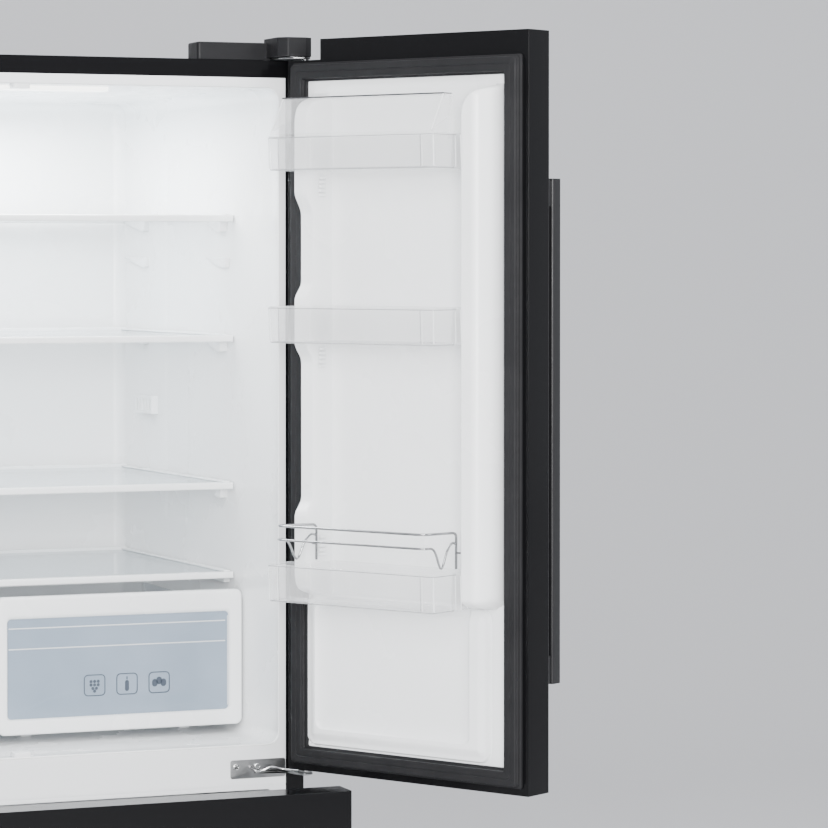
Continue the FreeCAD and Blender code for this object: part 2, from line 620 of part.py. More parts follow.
def door_handle():
    """Flat upright bar on two end blocks."""
    z0, z1 = DOOR_Z0 + 142.4, DOOR_Z0 + 830.6
    bar = along(box(19, 47, -115, -95, z0, z1), 2, 3.5, lambda p: True)
    feet_ = [along(box(22, 44, -96, DOOR_OUT, z, z + 38), 1, 3.0, lambda p: True) for z in (z0 + 1, z1 - 39)]
    return union([bar] + feet_)


def bin_outline(grow):
    """Plan of a door bin: narrower between the dykes, then reaching over the hinge-side dyke."""
    x0, x1 = BIN_FREE_X - grow, BIN_HINGE_X + grow
    n0, n1 = FREE_DYKE[1] + 4.5 - grow, HINGE_DYKE[0] - 4.5 + grow
    back, mid, front = DOOR_IN + 1.5 - grow, DYKE_HIGH + 2.5 - grow, BIN_DEPTH + grow
    return [(n0, back), (n1, back), (n1, mid), (x1, mid), (x1, front), (x0, front), (x0, mid), (n0, mid)]


def door_bin(z0, z1):
    """Clear bin with an open top, a rolled front lip and rounded front corners."""
    solid = vertical_round(plan(bin_outline(0), z0, z1), 9.0, lambda x, y: y > BIN_DEPTH - 1)
    hollow = vertical_round(plan(bin_outline(-BIN_T), z0 + BIN_T, z1 + 1), 6.5, lambda x,
                            y: y > BIN_DEPTH - 4)
    lip = box(BIN_FREE_X + 9, BIN_HINGE_X - 9, BIN_DEPTH - 5, BIN_DEPTH - 1, z1 - 3, z1)
    hook = box(BIN_FREE_X - BIN_HOOK, BIN_FREE_X + 1, DYKE_HIGH + 2.5, DYKE_HIGH + 5, z0, z1 - 2)
    return solid.cut(hollow).fuse([lip, hook])


def bottle_rail():
    """Bright wire rack above the lowest bin: two front wires, two legs, and a dip in each lower arm."""
    top, low = RAIL_WIRES
    (lx0, ly), (lx1, _) = RAIL_LEGS
    (cx0, cy), (cx1, _) = RAIL_CORNERS
    upper = [(lx0, ly, RAIL_LEG_Z), (lx0, ly, top), (cx0, cy, top), (cx0 - 8, cy + 6, top),
             (cx1 + 8, cy + 6, top),
             (cx1, cy, top), (lx1, ly, top), (lx1, ly, RAIL_LEG_Z)]

    def arm(leg, corner):
        """Lower arm from a leg to a front corner, dipping halfway."""
        return [(leg + (corner - leg) * t, ly + (cy - ly) * t, z)
                for t, z in ((0, low + 3), (0.25, low + 2), (0.55, low - 27), (0.85, low + 1), (1, low))]

    lower = arm(lx0, cx0) + [(cx0 - 8, cy + 6, low), (cx1 + 8, cy + 6, low)] + arm(lx1, cx1)[::-1]
    peg_z = low - 8
    pegs = [rod([(lx0, ly, peg_z), (HINGE_DYKE[0] + 0.4, ly, peg_z)], WIRE_R - 0.4),
            rod([(lx1, ly, peg_z), (FREE_DYKE[1] - 0.4, ly, peg_z)], WIRE_R - 0.4)]
    return union([rod(upper, WIRE_R), rod(lower, WIRE_R - 0.2)] + pegs)


def bin_flap():
    """Clear cover over the top bin, turning about its rear upper edge."""
    x0, x1 = FREE_DYKE[1] + 5.5, 371.0
    lip_z = TOP_BIN[1] + 1.5
    outside = [(FLAP_Y, 1704), (56, 1704), (83, lip_z), (81, lip_z), (54.5, 1701.5), (FLAP_Y, 1701.5)]
    cheek = [(FLAP_Y, 1703), (55, 1703), (80, TOP_BIN[1] + 4), (FLAP_Y, TOP_BIN[1] + 24)]
    shell_ = prism([(x0, y, z) for y, z in outside], (x1 - x0, 0, 0))
    cheeks = [prism([(x, y, z) for y, z in cheek], (2.0, 0, 0)) for x in (x0, x1 - 2.0)]
    pins = [tube(2.0, 4.0, x, FLAP_Y + 4, FLAP_Z - 4, (1, 0, 0)) for x in (x0 - 3.5, x1 - 0.5)]
    return union([shell_] + cheeks + pins)


def top_bin():
    """Top bin with an ear at each end that holds the flap's pins."""
    ears = []
    for x in (FREE_DYKE[1] + 2.0, 371.5):
        ear = prism([(x, FLAP_Y - 1, TOP_BIN[1] - 8), (x, FLAP_Y + 11, TOP_BIN[1] - 8),
                     (x, FLAP_Y + 8, FLAP_Z + 1),
                     (x, FLAP_Y, FLAP_Z + 1)], (3.0, 0, 0))
        ears.append(ear.cut(tube(2.06, 5.0, x - 1, FLAP_Y + 4, FLAP_Z - 4, (1, 0, 0))))
    return door_bin(*TOP_BIN).fuse(ears)


# ------------------------------------------------------------------ folding mullion on the left door
def mullion():
    """Sealing bar folded back beside the left door's free edge, on two end pins."""
    low, high = MULLION_Z
    bar = box(MULLION_X - MULLION_R, MULLION_X + MULLION_R, MULLION_Y - MULLION_R, MULLION_Y + 46, low, high)
    bar = along(bar, 2, MULLION_R - 0.1, lambda p: p.y < MULLION_Y)
    bar = along(bar, 2, 2.0, lambda p: p.y > MULLION_Y + 40)
    pins = [tube(2.5, 9.0, MULLION_X, MULLION_Y, z) for z in (low - 8.5, high - 0.5)]
    return union([bar] + pins)


def mullion_lugs():
    """Two arms that reach over the seal and hold the mullion's pins."""
    lugs = []
    for z in (MULLION_Z[0] - 11, MULLION_Z[1] + 1):
        arm = box(MULLION_X - 6.5, 43, GASKET_FACE + 0.6, 14, z, z + 10)
        arm = arm.fuse(box(38, 43, DOOR_IN, 14, z, z + 10))
        lugs.append(arm.cut(tube(2.56, 12, MULLION_X, MULLION_Y, z - 1)))
    return lugs


put("mullion", mirrored(turned(mullion())))

for side in ("right", "left"):
    def place(shape, side=side):
        """Turn a door part and mirror it for the left side."""
        return turned(shape) if side == "right" else mirrored(turned(shape))

    put(f"{side}_door_case", door_case(), place)
    put(f"{side}_door_foam", door_foam(), place)
    liner = door_liner() if side == "right" else door_liner().fuse(mullion_lugs())
    put(f"{side}_door_liner", liner, place)
    put(f"{side}_door_gasket", gasket_ring(*GASKET_EDGE, GASKET_W, DOOR_IN,
                                           GASKET_FACE).cut(door_notch(SHEET)), place)
    put(f"{side}_door_handle", door_handle(), place)
    put(f"{side}_top_bin", top_bin(), place)
    put(f"{side}_bins", [door_bin(*MIDDLE_BIN), door_bin(*LOW_BIN)], place)
    put(f"{side}_bottle_rail", bottle_rail(), place)
    put(f"{side}_bin_flap", bin_flap(), place)

# ------------------------------------------------------------------ freezer drawers


def drawer_parts(prefix, front, basket, rail_z, out):
    """Front, seal, basket and runners of one drawer."""
    z0, z1 = front
    b0, b1, depth = basket

    def place(shape):
        """Pull the drawer out to its resting place."""
        return shape.translated(V(0, -out, 0))

    def block(inset):
        """Outer form of the drawer front."""
        solid = box(-HALF_WIDTH + inset, HALF_WIDTH - inset, DOOR_OUT + inset, DOOR_IN - inset, z0 + inset,
                    z1 - inset)
        solid = vertical_round(solid, 5.0 - inset, lambda x, y: y < DOOR_OUT + 10)
        return solid

    opening = box(-HALF_WIDTH + 6, HALF_WIDTH - 6, DOOR_IN - SHEET - 1, DOOR_IN + 1, z0 + 6, z1 - 6)
    panel = box(-HALF_WIDTH + 6, HALF_WIDTH - 6, DOOR_IN - LINER_T, DOOR_IN, z0 + 6, z1 - 6)
    pad = along(box(-350, 350, DOOR_IN, DOOR_IN + 12, z0 + 44, z1 - 44), 1, 10.0, lambda p: True)
    put(f"{prefix}_front", block(0).cut([block(SHEET), opening]), place)
    put(f"{prefix}_foam", block(SHEET).cut(panel), place)
    put(f"{prefix}_inner_panel", panel.fuse(pad), place)
    seal = gasket_ring(-FLANGE_HALF - 4, FLANGE_HALF + 4, z0 + 3, z1 - 3, DRAWER_GASKET_W, DOOR_IN,
                       GASKET_FACE)
    put(f"{prefix}_gasket", seal, place)
    outside = along(box(-332, 332, -3.0, depth, b0, b1), 2, 14.0, lambda p: p.y > 100)
    inside = along(box(-329, 329, 0.0, depth - 3, b0 + 3, b1 + 1), 2, 11.0, lambda p: p.y > 100)
    put(f"{prefix}_basket", outside.cut(inside), place)
    web = box(332, 352, -3.0, depth - 10, rail_z[0] + 8, rail_z[1] - 8)
    put(f"{prefix}_runners", [web, mirrored(web)], place)
    handle_z = z1 - 92
    bar = along(box(-344, 344, -115, -95, handle_z, handle_z + 28), 0, 3.5, lambda p: True)
    blocks = [along(box(x, x + 38, -96, DOOR_OUT, handle_z + 3, handle_z + 25), 1, 3.0, lambda p: True)
              for x in (-343, 305)]
    put(f"{prefix}_handle", union([bar] + blocks), place)


drawer_parts("upper_drawer", DRAWER_FRONTS[0], DRAWER_BASKETS[0], RAIL_Z[0], UPPER_DRAWER_OUT)
drawer_parts("lower_drawer", DRAWER_FRONTS[1], DRAWER_BASKETS[1], RAIL_Z[1], 0.0)
fixed_rails = []
for (z0, z1), (_, _, depth) in zip(RAIL_Z, DRAWER_BASKETS):
    lips = [box(353, FREEZER_HALF, 20, depth - 4, z, z + 3) for z in (z0, z1 - 3)]
    rail = union(lips + [box(369, FREEZER_HALF, 20, depth - 4, z0, z1)])
    fixed_rails += [rail, mirrored(rail)]
put("drawer_rails", fixed_rails)

os.makedirs("parts", exist_ok=True)
for name, shape in parts.items():
    shape.exportStep(f"parts/{name}.step")
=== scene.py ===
import json
import math

import bmesh
import bpy
import numpy as np
from mathutils import Euler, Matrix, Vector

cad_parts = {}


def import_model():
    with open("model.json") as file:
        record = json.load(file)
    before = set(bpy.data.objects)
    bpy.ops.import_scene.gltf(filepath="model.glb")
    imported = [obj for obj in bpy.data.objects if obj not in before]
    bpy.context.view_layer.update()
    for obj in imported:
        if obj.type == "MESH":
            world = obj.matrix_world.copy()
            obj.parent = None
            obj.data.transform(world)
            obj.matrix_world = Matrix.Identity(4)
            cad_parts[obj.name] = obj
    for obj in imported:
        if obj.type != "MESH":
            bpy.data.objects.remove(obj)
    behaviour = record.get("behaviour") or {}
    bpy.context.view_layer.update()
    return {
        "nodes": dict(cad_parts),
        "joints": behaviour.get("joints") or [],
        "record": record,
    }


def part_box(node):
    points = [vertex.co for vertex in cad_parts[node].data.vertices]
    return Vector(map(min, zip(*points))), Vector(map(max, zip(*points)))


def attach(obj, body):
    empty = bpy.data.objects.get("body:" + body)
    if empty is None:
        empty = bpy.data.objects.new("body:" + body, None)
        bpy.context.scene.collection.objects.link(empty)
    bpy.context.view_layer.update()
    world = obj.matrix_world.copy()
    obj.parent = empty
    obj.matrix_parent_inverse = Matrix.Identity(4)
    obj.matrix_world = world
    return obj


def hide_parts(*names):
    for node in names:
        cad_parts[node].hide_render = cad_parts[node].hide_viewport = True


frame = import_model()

bl_info = {
    "name": "Four-door refrigerator",
    "version": (1, 0, 0),
    "blender": (4, 5, 0),
    "location": "View3D > Sidebar > Refrigerator",
    "description": "Fine surfaces and finishes for a refrigerator with two upper doors and two freezer drawers",
    "category": "Add Mesh",
}

NODES = frame["nodes"]
MM = 0.001
SIDES = ("right", "left")

# finishes that differ from their material slot's own
SPECIAL = {"crisper_right_tray": "tray_clear", "crisper_left_tray": "tray_clear",
           "hinge_screws": "screw_bright"}

# carried-over parts and the setting that says how far their edges are eased
EASED = {
    **dict.fromkeys(("right_door_case", "left_door_case", "upper_drawer_front", "lower_drawer_front"),
                    "case_edge"),
    **dict.fromkeys(("right_door_handle", "left_door_handle", "upper_drawer_handle", "lower_drawer_handle"),
                    "handle_edge"),
    **dict.fromkeys(("upper_drawer_inner_panel", "lower_drawer_inner_panel"), "case_edge"),
    **dict.fromkeys(("front_flange", "hinge_covers", "kick_grille", "sensor_box", "shelf_glass",
                     "upper_drawer_basket", "lower_drawer_basket"), "small_edge"),
}

# door bins, in millimetres
TOP_RIM = 1650.5
LOW_RIM = 52.5
MIDDLE_RIM = 51.0
BIN_FREE_X, BIN_HINGE_X = 85.5, 375.5
BIN_STEP_Y, BIN_FRONT_Y = 35.5, 85.0

# door liner, in millimetres: dykes across the door, their top and foot, and the centre of the raised frame
FREE_DYKE = (40.0, 86.0)
HINGE_DYKE = (341.5, 375.0)
DYKE_TOP, DYKE_FOOT, DYKE_ARCH = 1717.0, 1009.0, 1674.0
PANEL_MIDDLE = (225.0, 903.0)
LINER_SHEET = 2.0

# fresh-food compartment, in millimetres: half widths at its mouth and rear, and its limits
MOUTH_HALF, REAR_HALF = 383.0, 342.0
MOUTH_Y, REAR_Y = 2.0, 626.0
ROOM_FLOOR, ROOM_TOP = 790.0, 1724.0
ROOM_ROUND, REAR_ROUND = 18.0, 16.0
CHANNEL_SINK = 1.7
SHELF_GAP = 2.5
SHELF_TOPS = (1545.0, 1369.0, 1153.0)
REST_DROP = 6

# width of the seal's section below, which is scaled to the width asked for
SEAL_WIDTH = 26.0


# ---------------------------------------------------------------- places taken from the frame
def joint(name):
    """The record's joint of that name."""
    return next(j for j in frame["joints"] if j["name"] == name)


def lowest(node):
    """Lowest corner of a node as an array."""
    return np.array(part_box(node)[0])


def highest(node):
    """Highest corner of a node as an array."""
    return np.array(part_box(node)[1])


HINGE = np.array(joint("right_door_hinge")["pos_m"])
DOOR_ANGLE = math.radians(-joint("right_door_hinge")["range_deg"][0])


def swing(points, angle):
    """Turn points about the right door's hinge axis: x' = x cos a - y sin a, y' = x sin a + y cos a."""
    arm = points - HINGE
    c, s = math.cos(angle), math.sin(angle)
    turned = np.stack([arm[..., 0] * c - arm[..., 1] * s, arm[..., 0] * s + arm[..., 1] * c, arm[..., 2]], -1)
    return turned + HINGE


def flip(points):
    """Mirror points in the cabinet's middle plane."""
    return points * np.array([-1.0, 1.0, 1.0])


def mirrored(grids, side):
    """Grids made for the right-hand side, turned over for the left."""
    return [flip(grid) for grid in grids] if side == "left" else grids


def hung(points, side):
    """Points given with the right door closed, moved to where that side's open door rests."""
    opened = swing(points, DOOR_ANGLE)
    return opened if side == "right" else flip(opened)


def closed_box(node):
    """Lowest and highest corner of a door node once its door is shut, read as a right-hand door."""
    mesh = NODES[node].data
    flat = np.empty(len(mesh.vertices) * 3)
    mesh.vertices.foreach_get("co", flat)
    points = flat.reshape(-1, 3)
    if node.startswith("left"):
        points = flip(points)
    shut = swing(points, -DOOR_ANGLE)
    return shut.min(0), shut.max(0)


# ---------------------------------------------------------------- mesh building
def outline(corners, radii, steps=6):
    """Closed path with rounded corners, and its outward normals.

    For each corner with unit directions a (in) and b (out), the arc of radius r touches both sides at
    t = r tan(turn / 2) from the corner; its points are centre + r (cos w, sin w).  Corners run anticlockwise.
    """
    p = np.array(corners, float)
    r = np.broadcast_to(np.array(radii, float), len(p))
    a = p - np.roll(p, 1, 0)
    b = np.roll(p, -1, 0) - p
    a /= np.linalg.norm(a, axis=1)[:, None]
    b /= np.linalg.norm(b, axis=1)[:, None]
    turn = np.arctan2(a[:, 0] * b[:, 1] - a[:, 1] * b[:, 0], (a * b).sum(1))
    reach = r * np.tan(np.abs(turn) / 2)
    start = p - a * reach[:, None]
    side = np.sign(turn)[:, None]
    centre = start + side * r[:, None] * np.stack([-a[:, 1], a[:, 0]], 1)
    first = np.arctan2(-a[:, 0], a[:, 1])
    w = first[:, None] + turn[:, None] * np.linspace(0, 1, steps + 1)
    normal = np.stack([np.cos(w), np.sin(w)], -1)
    points = centre[:, None] + side[:, None] * r[:, None, None] * normal
    return points.reshape(-1, 2), normal.reshape(-1, 2)


def rect(x0, x1, z0, z1):
    """Anticlockwise corners of a rectangle."""
    return [(x0, z0), (x1, z0), (x1, z1), (x0, z1)]


def loft(path, rows, plane, poles=(True, True), centre=None):
    """Rows of a closed path, grown by rows[:, 0] along its normals and set at height rows[:, 1].

    Point(i,
          j) = path(j) + grow(i) normal(j), at level(i) along the third axis.  A pole closes an end with the
    path's middle point, so the surface is a closed solid.  plane says which axes the path and the level use.
    """
    points, normals = path
    rows = np.array(rows, float)
    ring = points[None] + rows[:, 0, None, None] * normals[None]
    level = np.broadcast_to(rows[:, 1, None, None], ring.shape[:2] + (1,))
    middle = points.mean(0) if centre is None else np.array(centre, float)
    grid = np.concatenate([ring, level], -1)
    if poles[0]:
        first = np.broadcast_to(np.append(middle, rows[0, 1]), grid[:1].shape)
        grid = np.concatenate([first, grid])
    if poles[1]:
        last = np.broadcast_to(np.append(middle, rows[-1, 1]), grid[:1].shape)
        grid = np.concatenate([grid, last])
    return grid[..., {"xy": [0, 1, 2], "xz": [0, 2, 1], "yz": [2, 0, 1]}[plane]]


def arc_rows(grow, level, radius, start, end, steps=5):
    """Quarter-round rows: grow + r cos w, level + r sin w, for w from start to end in degrees."""
    w = np.radians(np.linspace(start, end, steps + 1))
    return np.stack([grow + radius * np.cos(w), level + radius * np.sin(w)], 1)


def slab_rows(low, high, radius, steps=4):
    """Profile of a solid slab with rounded rims, from its low face to its high face."""
    r = radius
    return np.concatenate([arc_rows(-r, low + r, r, -90, 0, steps), arc_rows(-r, high - r, r, 0, 90, steps)])


def tube_grid(points, radius, around=10, closed=False):
    """Round tube along a smooth line: point + r (cos w side + sin w up), frames from cross products."""
    p = np.array(points, float)
    tangent = np.roll(p, -1, 0) - np.roll(p, 1, 0) if closed else np.gradient(p, axis=0)
    tangent /= np.linalg.norm(tangent, axis=1)[:, None]
    guide = np.array([0.0, 0.0, 1.0]) if np.abs(tangent[:, 2]).max() < 0.95 else np.array([0.31, 0.93, 0.2])
    side = np.cross(tangent, guide)
    side /= np.linalg.norm(side, axis=1)[:, None]
    up = np.cross(side, tangent)
    w = np.linspace(0, 2 * math.pi, around, endpoint=False)
    cos, sin = np.cos(w)[None, :, None], np.sin(w)[None, :, None]
    ring = p[:, None] + radius * (cos * side[:, None] + sin * up[:, None])
    if closed:
        return ring
    first, last = (np.broadcast_to(p[k], ring[:1].shape) for k in (0, -1))
    return np.concatenate([first, ring, last])


def bend(points, radius, steps=6):
    """Line through points with each inner corner eased by a quadratic curve of reach radius."""
    p = np.array(points, float)
    a = p[:-2] - p[1:-1]
    b = p[2:] - p[1:-1]
    a *= np.minimum(radius / np.linalg.norm(a, axis=1), 0.48)[:, None]
    b *= np.minimum(radius / np.linalg.norm(b, axis=1), 0.48)[:, None]
    t = np.linspace(0, 1, steps + 1)[None, :, None]
    curve = p[1:-1, None] + a[:, None] * (1 - t) ** 2 + b[:, None] * t ** 2
    return np.concatenate([p[:1], curve.reshape(-1, p.shape[1]), p[-1:]])


def grid_faces(rows, cols, wrap_rows=False):
    """Quads of a grid whose columns close on themselves."""
    i = np.arange(rows if wrap_rows else rows - 1)[:, None] * cols
    j = np.arange(cols)[None]
    nxt = (j + 1) % cols
    up = (i + cols) % (rows * cols)
    return np.stack([i + j, i + nxt, up + nxt, up + j], -1).reshape(-1, 4)


MERGE_STEP = 2e-6


def volume(points, faces):
    """Signed volume of a closed quad mesh."""
    a, b, c, d = (points[faces[:, k]] for k in range(4))
    return (np.einsum("ij,ij->i", a, np.cross(b, c)) + np.einsum("ij,ij->i", a, np.cross(c, d))).sum() / 6


def solid(name, grids, material, body, slot, stands_for=(), wrap_rows=False, smooth=30.0):
    """One closed piece from one or more grids whose columns close: doubles merged, faces turned outwards."""
    grids = grids if isinstance(grids, list) else [grids]
    points = []
    faces = []
    count = 0
    for grid in grids:
        flat = grid.reshape(-1, 3)
        quads = grid_faces(grid.shape[0], grid.shape[1], wrap_rows)
        quads = quads if volume(flat, quads) > 0 else quads[:, ::-1]
        points.append(flat)
        faces.append(quads + count)
        count += len(flat)
    points = np.concatenate(points)
    faces = np.concatenate(faces)
    keys, inverse = np.unique(np.round(points / MERGE_STEP).astype(np.int64), axis=0, return_inverse=True)
    inverse = inverse.reshape(-1)
    merged = np.zeros((len(keys), 3))
    merged[inverse] = points
    faces = inverse[faces]
    same = (faces == np.roll(faces, -1, 1)).sum(1)
    full = faces[same == 0]
    half = faces[same == 1]
    keep = half != np.roll(half, -1, 1)
    tris = half[keep].reshape(-1, 3) if len(half) else np.zeros((0, 3), int)
    mesh = bpy.data.meshes.new(name)
    loops = np.concatenate([full.ravel(), tris.ravel()])
    totals = np.concatenate([np.full(len(full), 4), np.full(len(tris), 3)])
    mesh.vertices.add(len(merged))
    mesh.vertices.foreach_set("co", merged.ravel().astype(np.float32))
    mesh.loops.add(len(loops))
    mesh.loops.foreach_set("vertex_index", loops.astype(np.int32))
    mesh.polygons.add(len(totals))
    mesh.polygons.foreach_set("loop_start", np.concatenate([[0], np.cumsum(totals)[:-1]]).astype(np.int32))
    mesh.polygons.foreach_set("loop_total", totals.astype(np.int32))
    mesh.polygons.foreach_set("use_smooth", np.ones(len(totals), bool))
    mesh.update(calc_edges=True)
    mesh.validate()
    mesh.set_sharp_from_angle(angle=math.radians(smooth))
    mesh.materials.append(material)
    piece = bpy.data.objects.new(name, mesh)
    bpy.context.scene.collection.objects.link(piece)
    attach(piece, body)
    if stands_for:
        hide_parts(*stands_for)
    return piece


# ---------------------------------------------------------------- places in millimetres
# the doors are shut and the cabinet's front plane is at y = 0
FRONT_Y = lowest("front_flange")[1]


def world(points):
    """Millimetres with the cabinet's front plane at y = 0, turned into the frame's metres."""
    return np.asarray(points, float) * MM + np.array([0.0, FRONT_Y, 0.0])


def span(node):
    """Lowest and highest corner of a node in millimetres, doors shut, front plane at y = 0."""
    low, high = closed_box(node) if node.split("_")[0] in ("right", "left") else (lowest(node), highest(node))
    back = np.array([0.0, FRONT_Y, 0.0])
    return (low - back) / MM, (high - back) / MM


def size(name):
    """A length of the settings in millimetres, rid of its single-precision tail."""
    return round(getattr(bpy.context.scene.fridge_sizes, name) / MM, 4)


def ring_rows(entries, steps=5):
    """Rounded rectangles one after another: each entry is x0, x1, z0, z1, corner radius, y."""
    rings = []
    for x0, x1, z0, z1, r, y in entries:
        points, _ = outline(rect(x0, x1, z0, z1), r, steps)
        rings.append(np.insert(points, 1, y, axis=1))
    return np.array(rings)


def sheet(face, back):
    """Closed sheet between two grids of points, joined all round along their middle line."""
    rings = np.concatenate([face, back[:, ::-1]], 1)
    middle = (face + back) / 2
    ends = [np.concatenate([middle[k], middle[k, ::-1]])[None] for k in (0, -1)]
    return np.concatenate([ends[0], rings, ends[1]])


def block(x0, x1, y0, y1, z0, z1, radius=1.0, plane="xz", corner=None, steps=3):
    """Solid block with rounded rims and corners, lofted across the named plane."""
    a = {"xy": (x0, x1, y0, y1, z0, z1), "xz": (x0, x1, z0, z1, y0, y1), "yz": (y0, y1, z0, z1, x0,
                                                                                x1)}[plane]
    path = outline(rect(*a[:4]), radius if corner is None else corner, steps)
    return loft(path, slab_rows(a[4], a[5], radius, 3), plane)


def ease(t):
    """Smooth step 3 t^2 - 2 t^3, held between 0 and 1."""
    t = np.clip(t, 0, 1)
    return t * t * (3 - 2 * t)


def quarter(t):
    """Quarter-round shoulder sqrt(1 - (1 - t)^2), held between 0 and 1."""
    t = np.clip(t, 0, 1)
    return np.sqrt(1 - (1 - t) ** 2)


def knots(*values, step):
    """Sorted samples that hold every given value and are never further apart than step."""
    values = np.array(sorted(values), float)
    parts = [np.linspace(a, b, max(2, int(np.ceil((b - a) / step)) + 1))[:-1]
             for a, b in zip(values, values[1:])]
    return np.concatenate(parts + [values[-1:]])


# the door liner's hinge dyke: z, then how far its top stands off the front plane, and the plane it stands on
DYKE_LINE = np.array([
    (1010, -15), (1014, 12), (1022, 28), (1036, 33), (1127, 33), (1144, 18), (1342, 18), (1360, 33),
    (1428, 33), (1445, 18), (1547, 18), (1570, 33), (1676, 33), (1692, 28), (1704, 12), (1708, -15)], float)
DYKE_SEAT = 15.0


def dyke_height(z):
    """Height of a dyke above the liner at z, with eased chamfers (a running mean of the straight line)."""
    shifts = np.linspace(-5, 5, 7)
    return np.mean([np.interp(z + s, DYKE_LINE[:, 0], DYKE_LINE[:, 1]) for s in shifts], 0) + DYKE_SEAT


def round_gap(qx, qz, radius):
    """Distance outside a rounded rectangle; qx and qz are the distances past its corners' centres."""
    return np.hypot(np.clip(qx, 0, None), np.clip(qz, 0, None)) + np.minimum(np.maximum(qx, qz), 0) - radius


def liner_surface(x, z):
    """Stand-off of the door liner from its plane, in millimetres.

    Hinge dyke: height(z) times quarter-round shoulders 7 and 8 wide.  Free dyke: an even height under a steep
    inner and a broad outer shoulder, its upper end cut by a quarter ellipse.  Below the dykes: a raised frame
    behind a fine groove that follows a rounded rectangle, and inside it a recess with broad slopes; between the
    dykes a shallow dish.
    """
    h = dyke_height(z)
    hinge = h * quarter((x - HINGE_DYKE[0]) / 8) * quarter((HINGE_DYKE[1] - x) / 7)
    corner = np.hypot(np.clip((x - 46) / 40, 0, None), np.clip((z - DYKE_ARCH) / 42, 0, None))
    arch = quarter((1.0 - np.clip(corner, 0, 1)) * 5.0)
    foot = quarter((z - DYKE_FOOT - 10 * np.clip(1 - (x - 42) / 20, 0, 1) ** 2) / 14)
    free = 48.0 * quarter((DYKE_TOP - z) / 16)
    free = free * quarter((FREE_DYKE[1] - x) / 8) * quarter((x - FREE_DYKE[0]) / 24)
    free = free * np.where(z > DYKE_ARCH, arch, 1) * np.where(z < 1060, foot, 1)
    away = round_gap(np.abs(x - PANEL_MIDDLE[0]) - 143, np.abs(z - PANEL_MIDDLE[1]) - 87, 18)
    inside = -round_gap(np.abs(x - 230.5) - 122.5, 834 - z, 12)
    below = ease((1016 - z) / 16)
    dish = -0.9 * ease((x - 86) / 16) * ease((341 - x) / 16) * ease((z - 985) / 25) * ease((1700 - z) / 16)
    bead = (2.2 * ease(-away / 1.8) + 4.0 * ease((-away - 6) / 14) - 6.2 * quarter(inside / 24)
            - 2.6 * np.exp(-((away - 0.8) / 1.3) ** 2)) * below
    shelf = 1.4 * np.exp(-((z - 1722) / 5.0) ** 2) * ease((x - 60) / 20) * ease((360 - x) / 20)
    return hinge + free + dish + bead + shelf


def door_liner_grids(side):
    """Front of the liner over a fine grid, closed by its back a sheet behind, with rounded rims and bin rests."""
    low, high = span(f"{side}_door_liner")
    x = knots(low[0], 40, 46, 64, 78, 87, 92, 104, 330, 340, 350, 367, 376, 390, high[0], step=6.0)
    fine = ((40, 104, 2.0), (336, 378, 2.0), (60, 72, 1.5), (380, 392, 1.0), (94, 104, 1.0))
    x = np.unique(np.concatenate([x] + [np.arange(*stretch) for stretch in fine]))
    fine = ((low[2], high[2], 7.0), (790, 850, 1.5), (1000, 1060, 2.5), (1120, 1150, 4), (1336, 1366, 4),
            (1424, 1450, 4), (1542, 1575, 4), (1660, 1730, 2.5))
    z = np.unique(np.concatenate([np.arange(*stretch) for stretch in fine] + [[high[2]]]))
    gx, gz = np.meshgrid(x, z)
    lift = liner_surface(gx, gz)
    edge = np.minimum(np.minimum(gx - low[0], high[0] - gx), np.minimum(gz - low[2], high[2] - gz))
    lift = lift - 1.2 * (1 - quarter(edge / 3.0))
    face = np.stack([gx, low[1] + LINER_SHEET + lift, gz], -1)
    back = np.stack([gx, low[1] + np.clip(lift - LINER_SHEET, 0, None), gz], -1)
    grids = [sheet(face, back)]
    for x0 in (338.5, 85.0):
        for z0 in (1568.0, 1330.0, 1068.0):
            for k in range(5):
                grids.append(block(x0, x0 + 3.6, 0, 14.0 - 0.6 * k, z0 + k * 6, z0 + k * 6 + 4.0, 0.9, "yz"))
    if side == "left":
        low_pin, high_pin = span("mullion")
        for z0 in (low_pin[2] - 2.5, high_pin[2] - 7.5):
            grids.append(block(14, 43, -1.2, 14, z0, z0 + 10, 1.4, "xy", 4.0))
            grids.append(block(38, 43, -15, 14, z0, z0 + 10, 1.2, "xy", 2.0))
    return grids


# section of the bellows seal: distance from its outer edge, y, corner radius of the ring
SEAL_SECTION = [
    (0, -15.0, 3), (0, -11.8, 3), (1.2, -11, 3), (3.6, -10.6, 4), (2.6, -8.6, 5), (4.4, -6.6, 5), (3.0, -4.6, 5),
    (3.4, -2.7, 5), (4.8, -1.8, 5), (12.0, -1.9, 5), (12.6, -2.5, 4), (13.4, -2.5, 4), (14.0, -1.9, 4),
    (21.2, -1.8, 3), (22.6, -2.7, 3), (23.0, -4.6, 3), (21.6, -6.6, 3), (23.4, -8.6, 3), (22.4, -10.6, 3),
    (24.8, -11, 2), (26, -11.8, 2), (26, -15.0, 2)]


def seal_grid(x0, x1, z0, z1, width):
    """Bellows seal: each point of the section becomes a rounded rectangle, inset by its own distance."""
    scale = width / SEAL_WIDTH
    return ring_rows([(x0 + p * scale, x1 - p * scale, z0 + p * scale, z1 - p * scale, r, y)
                      for p, y, r in SEAL_SECTION], 5)


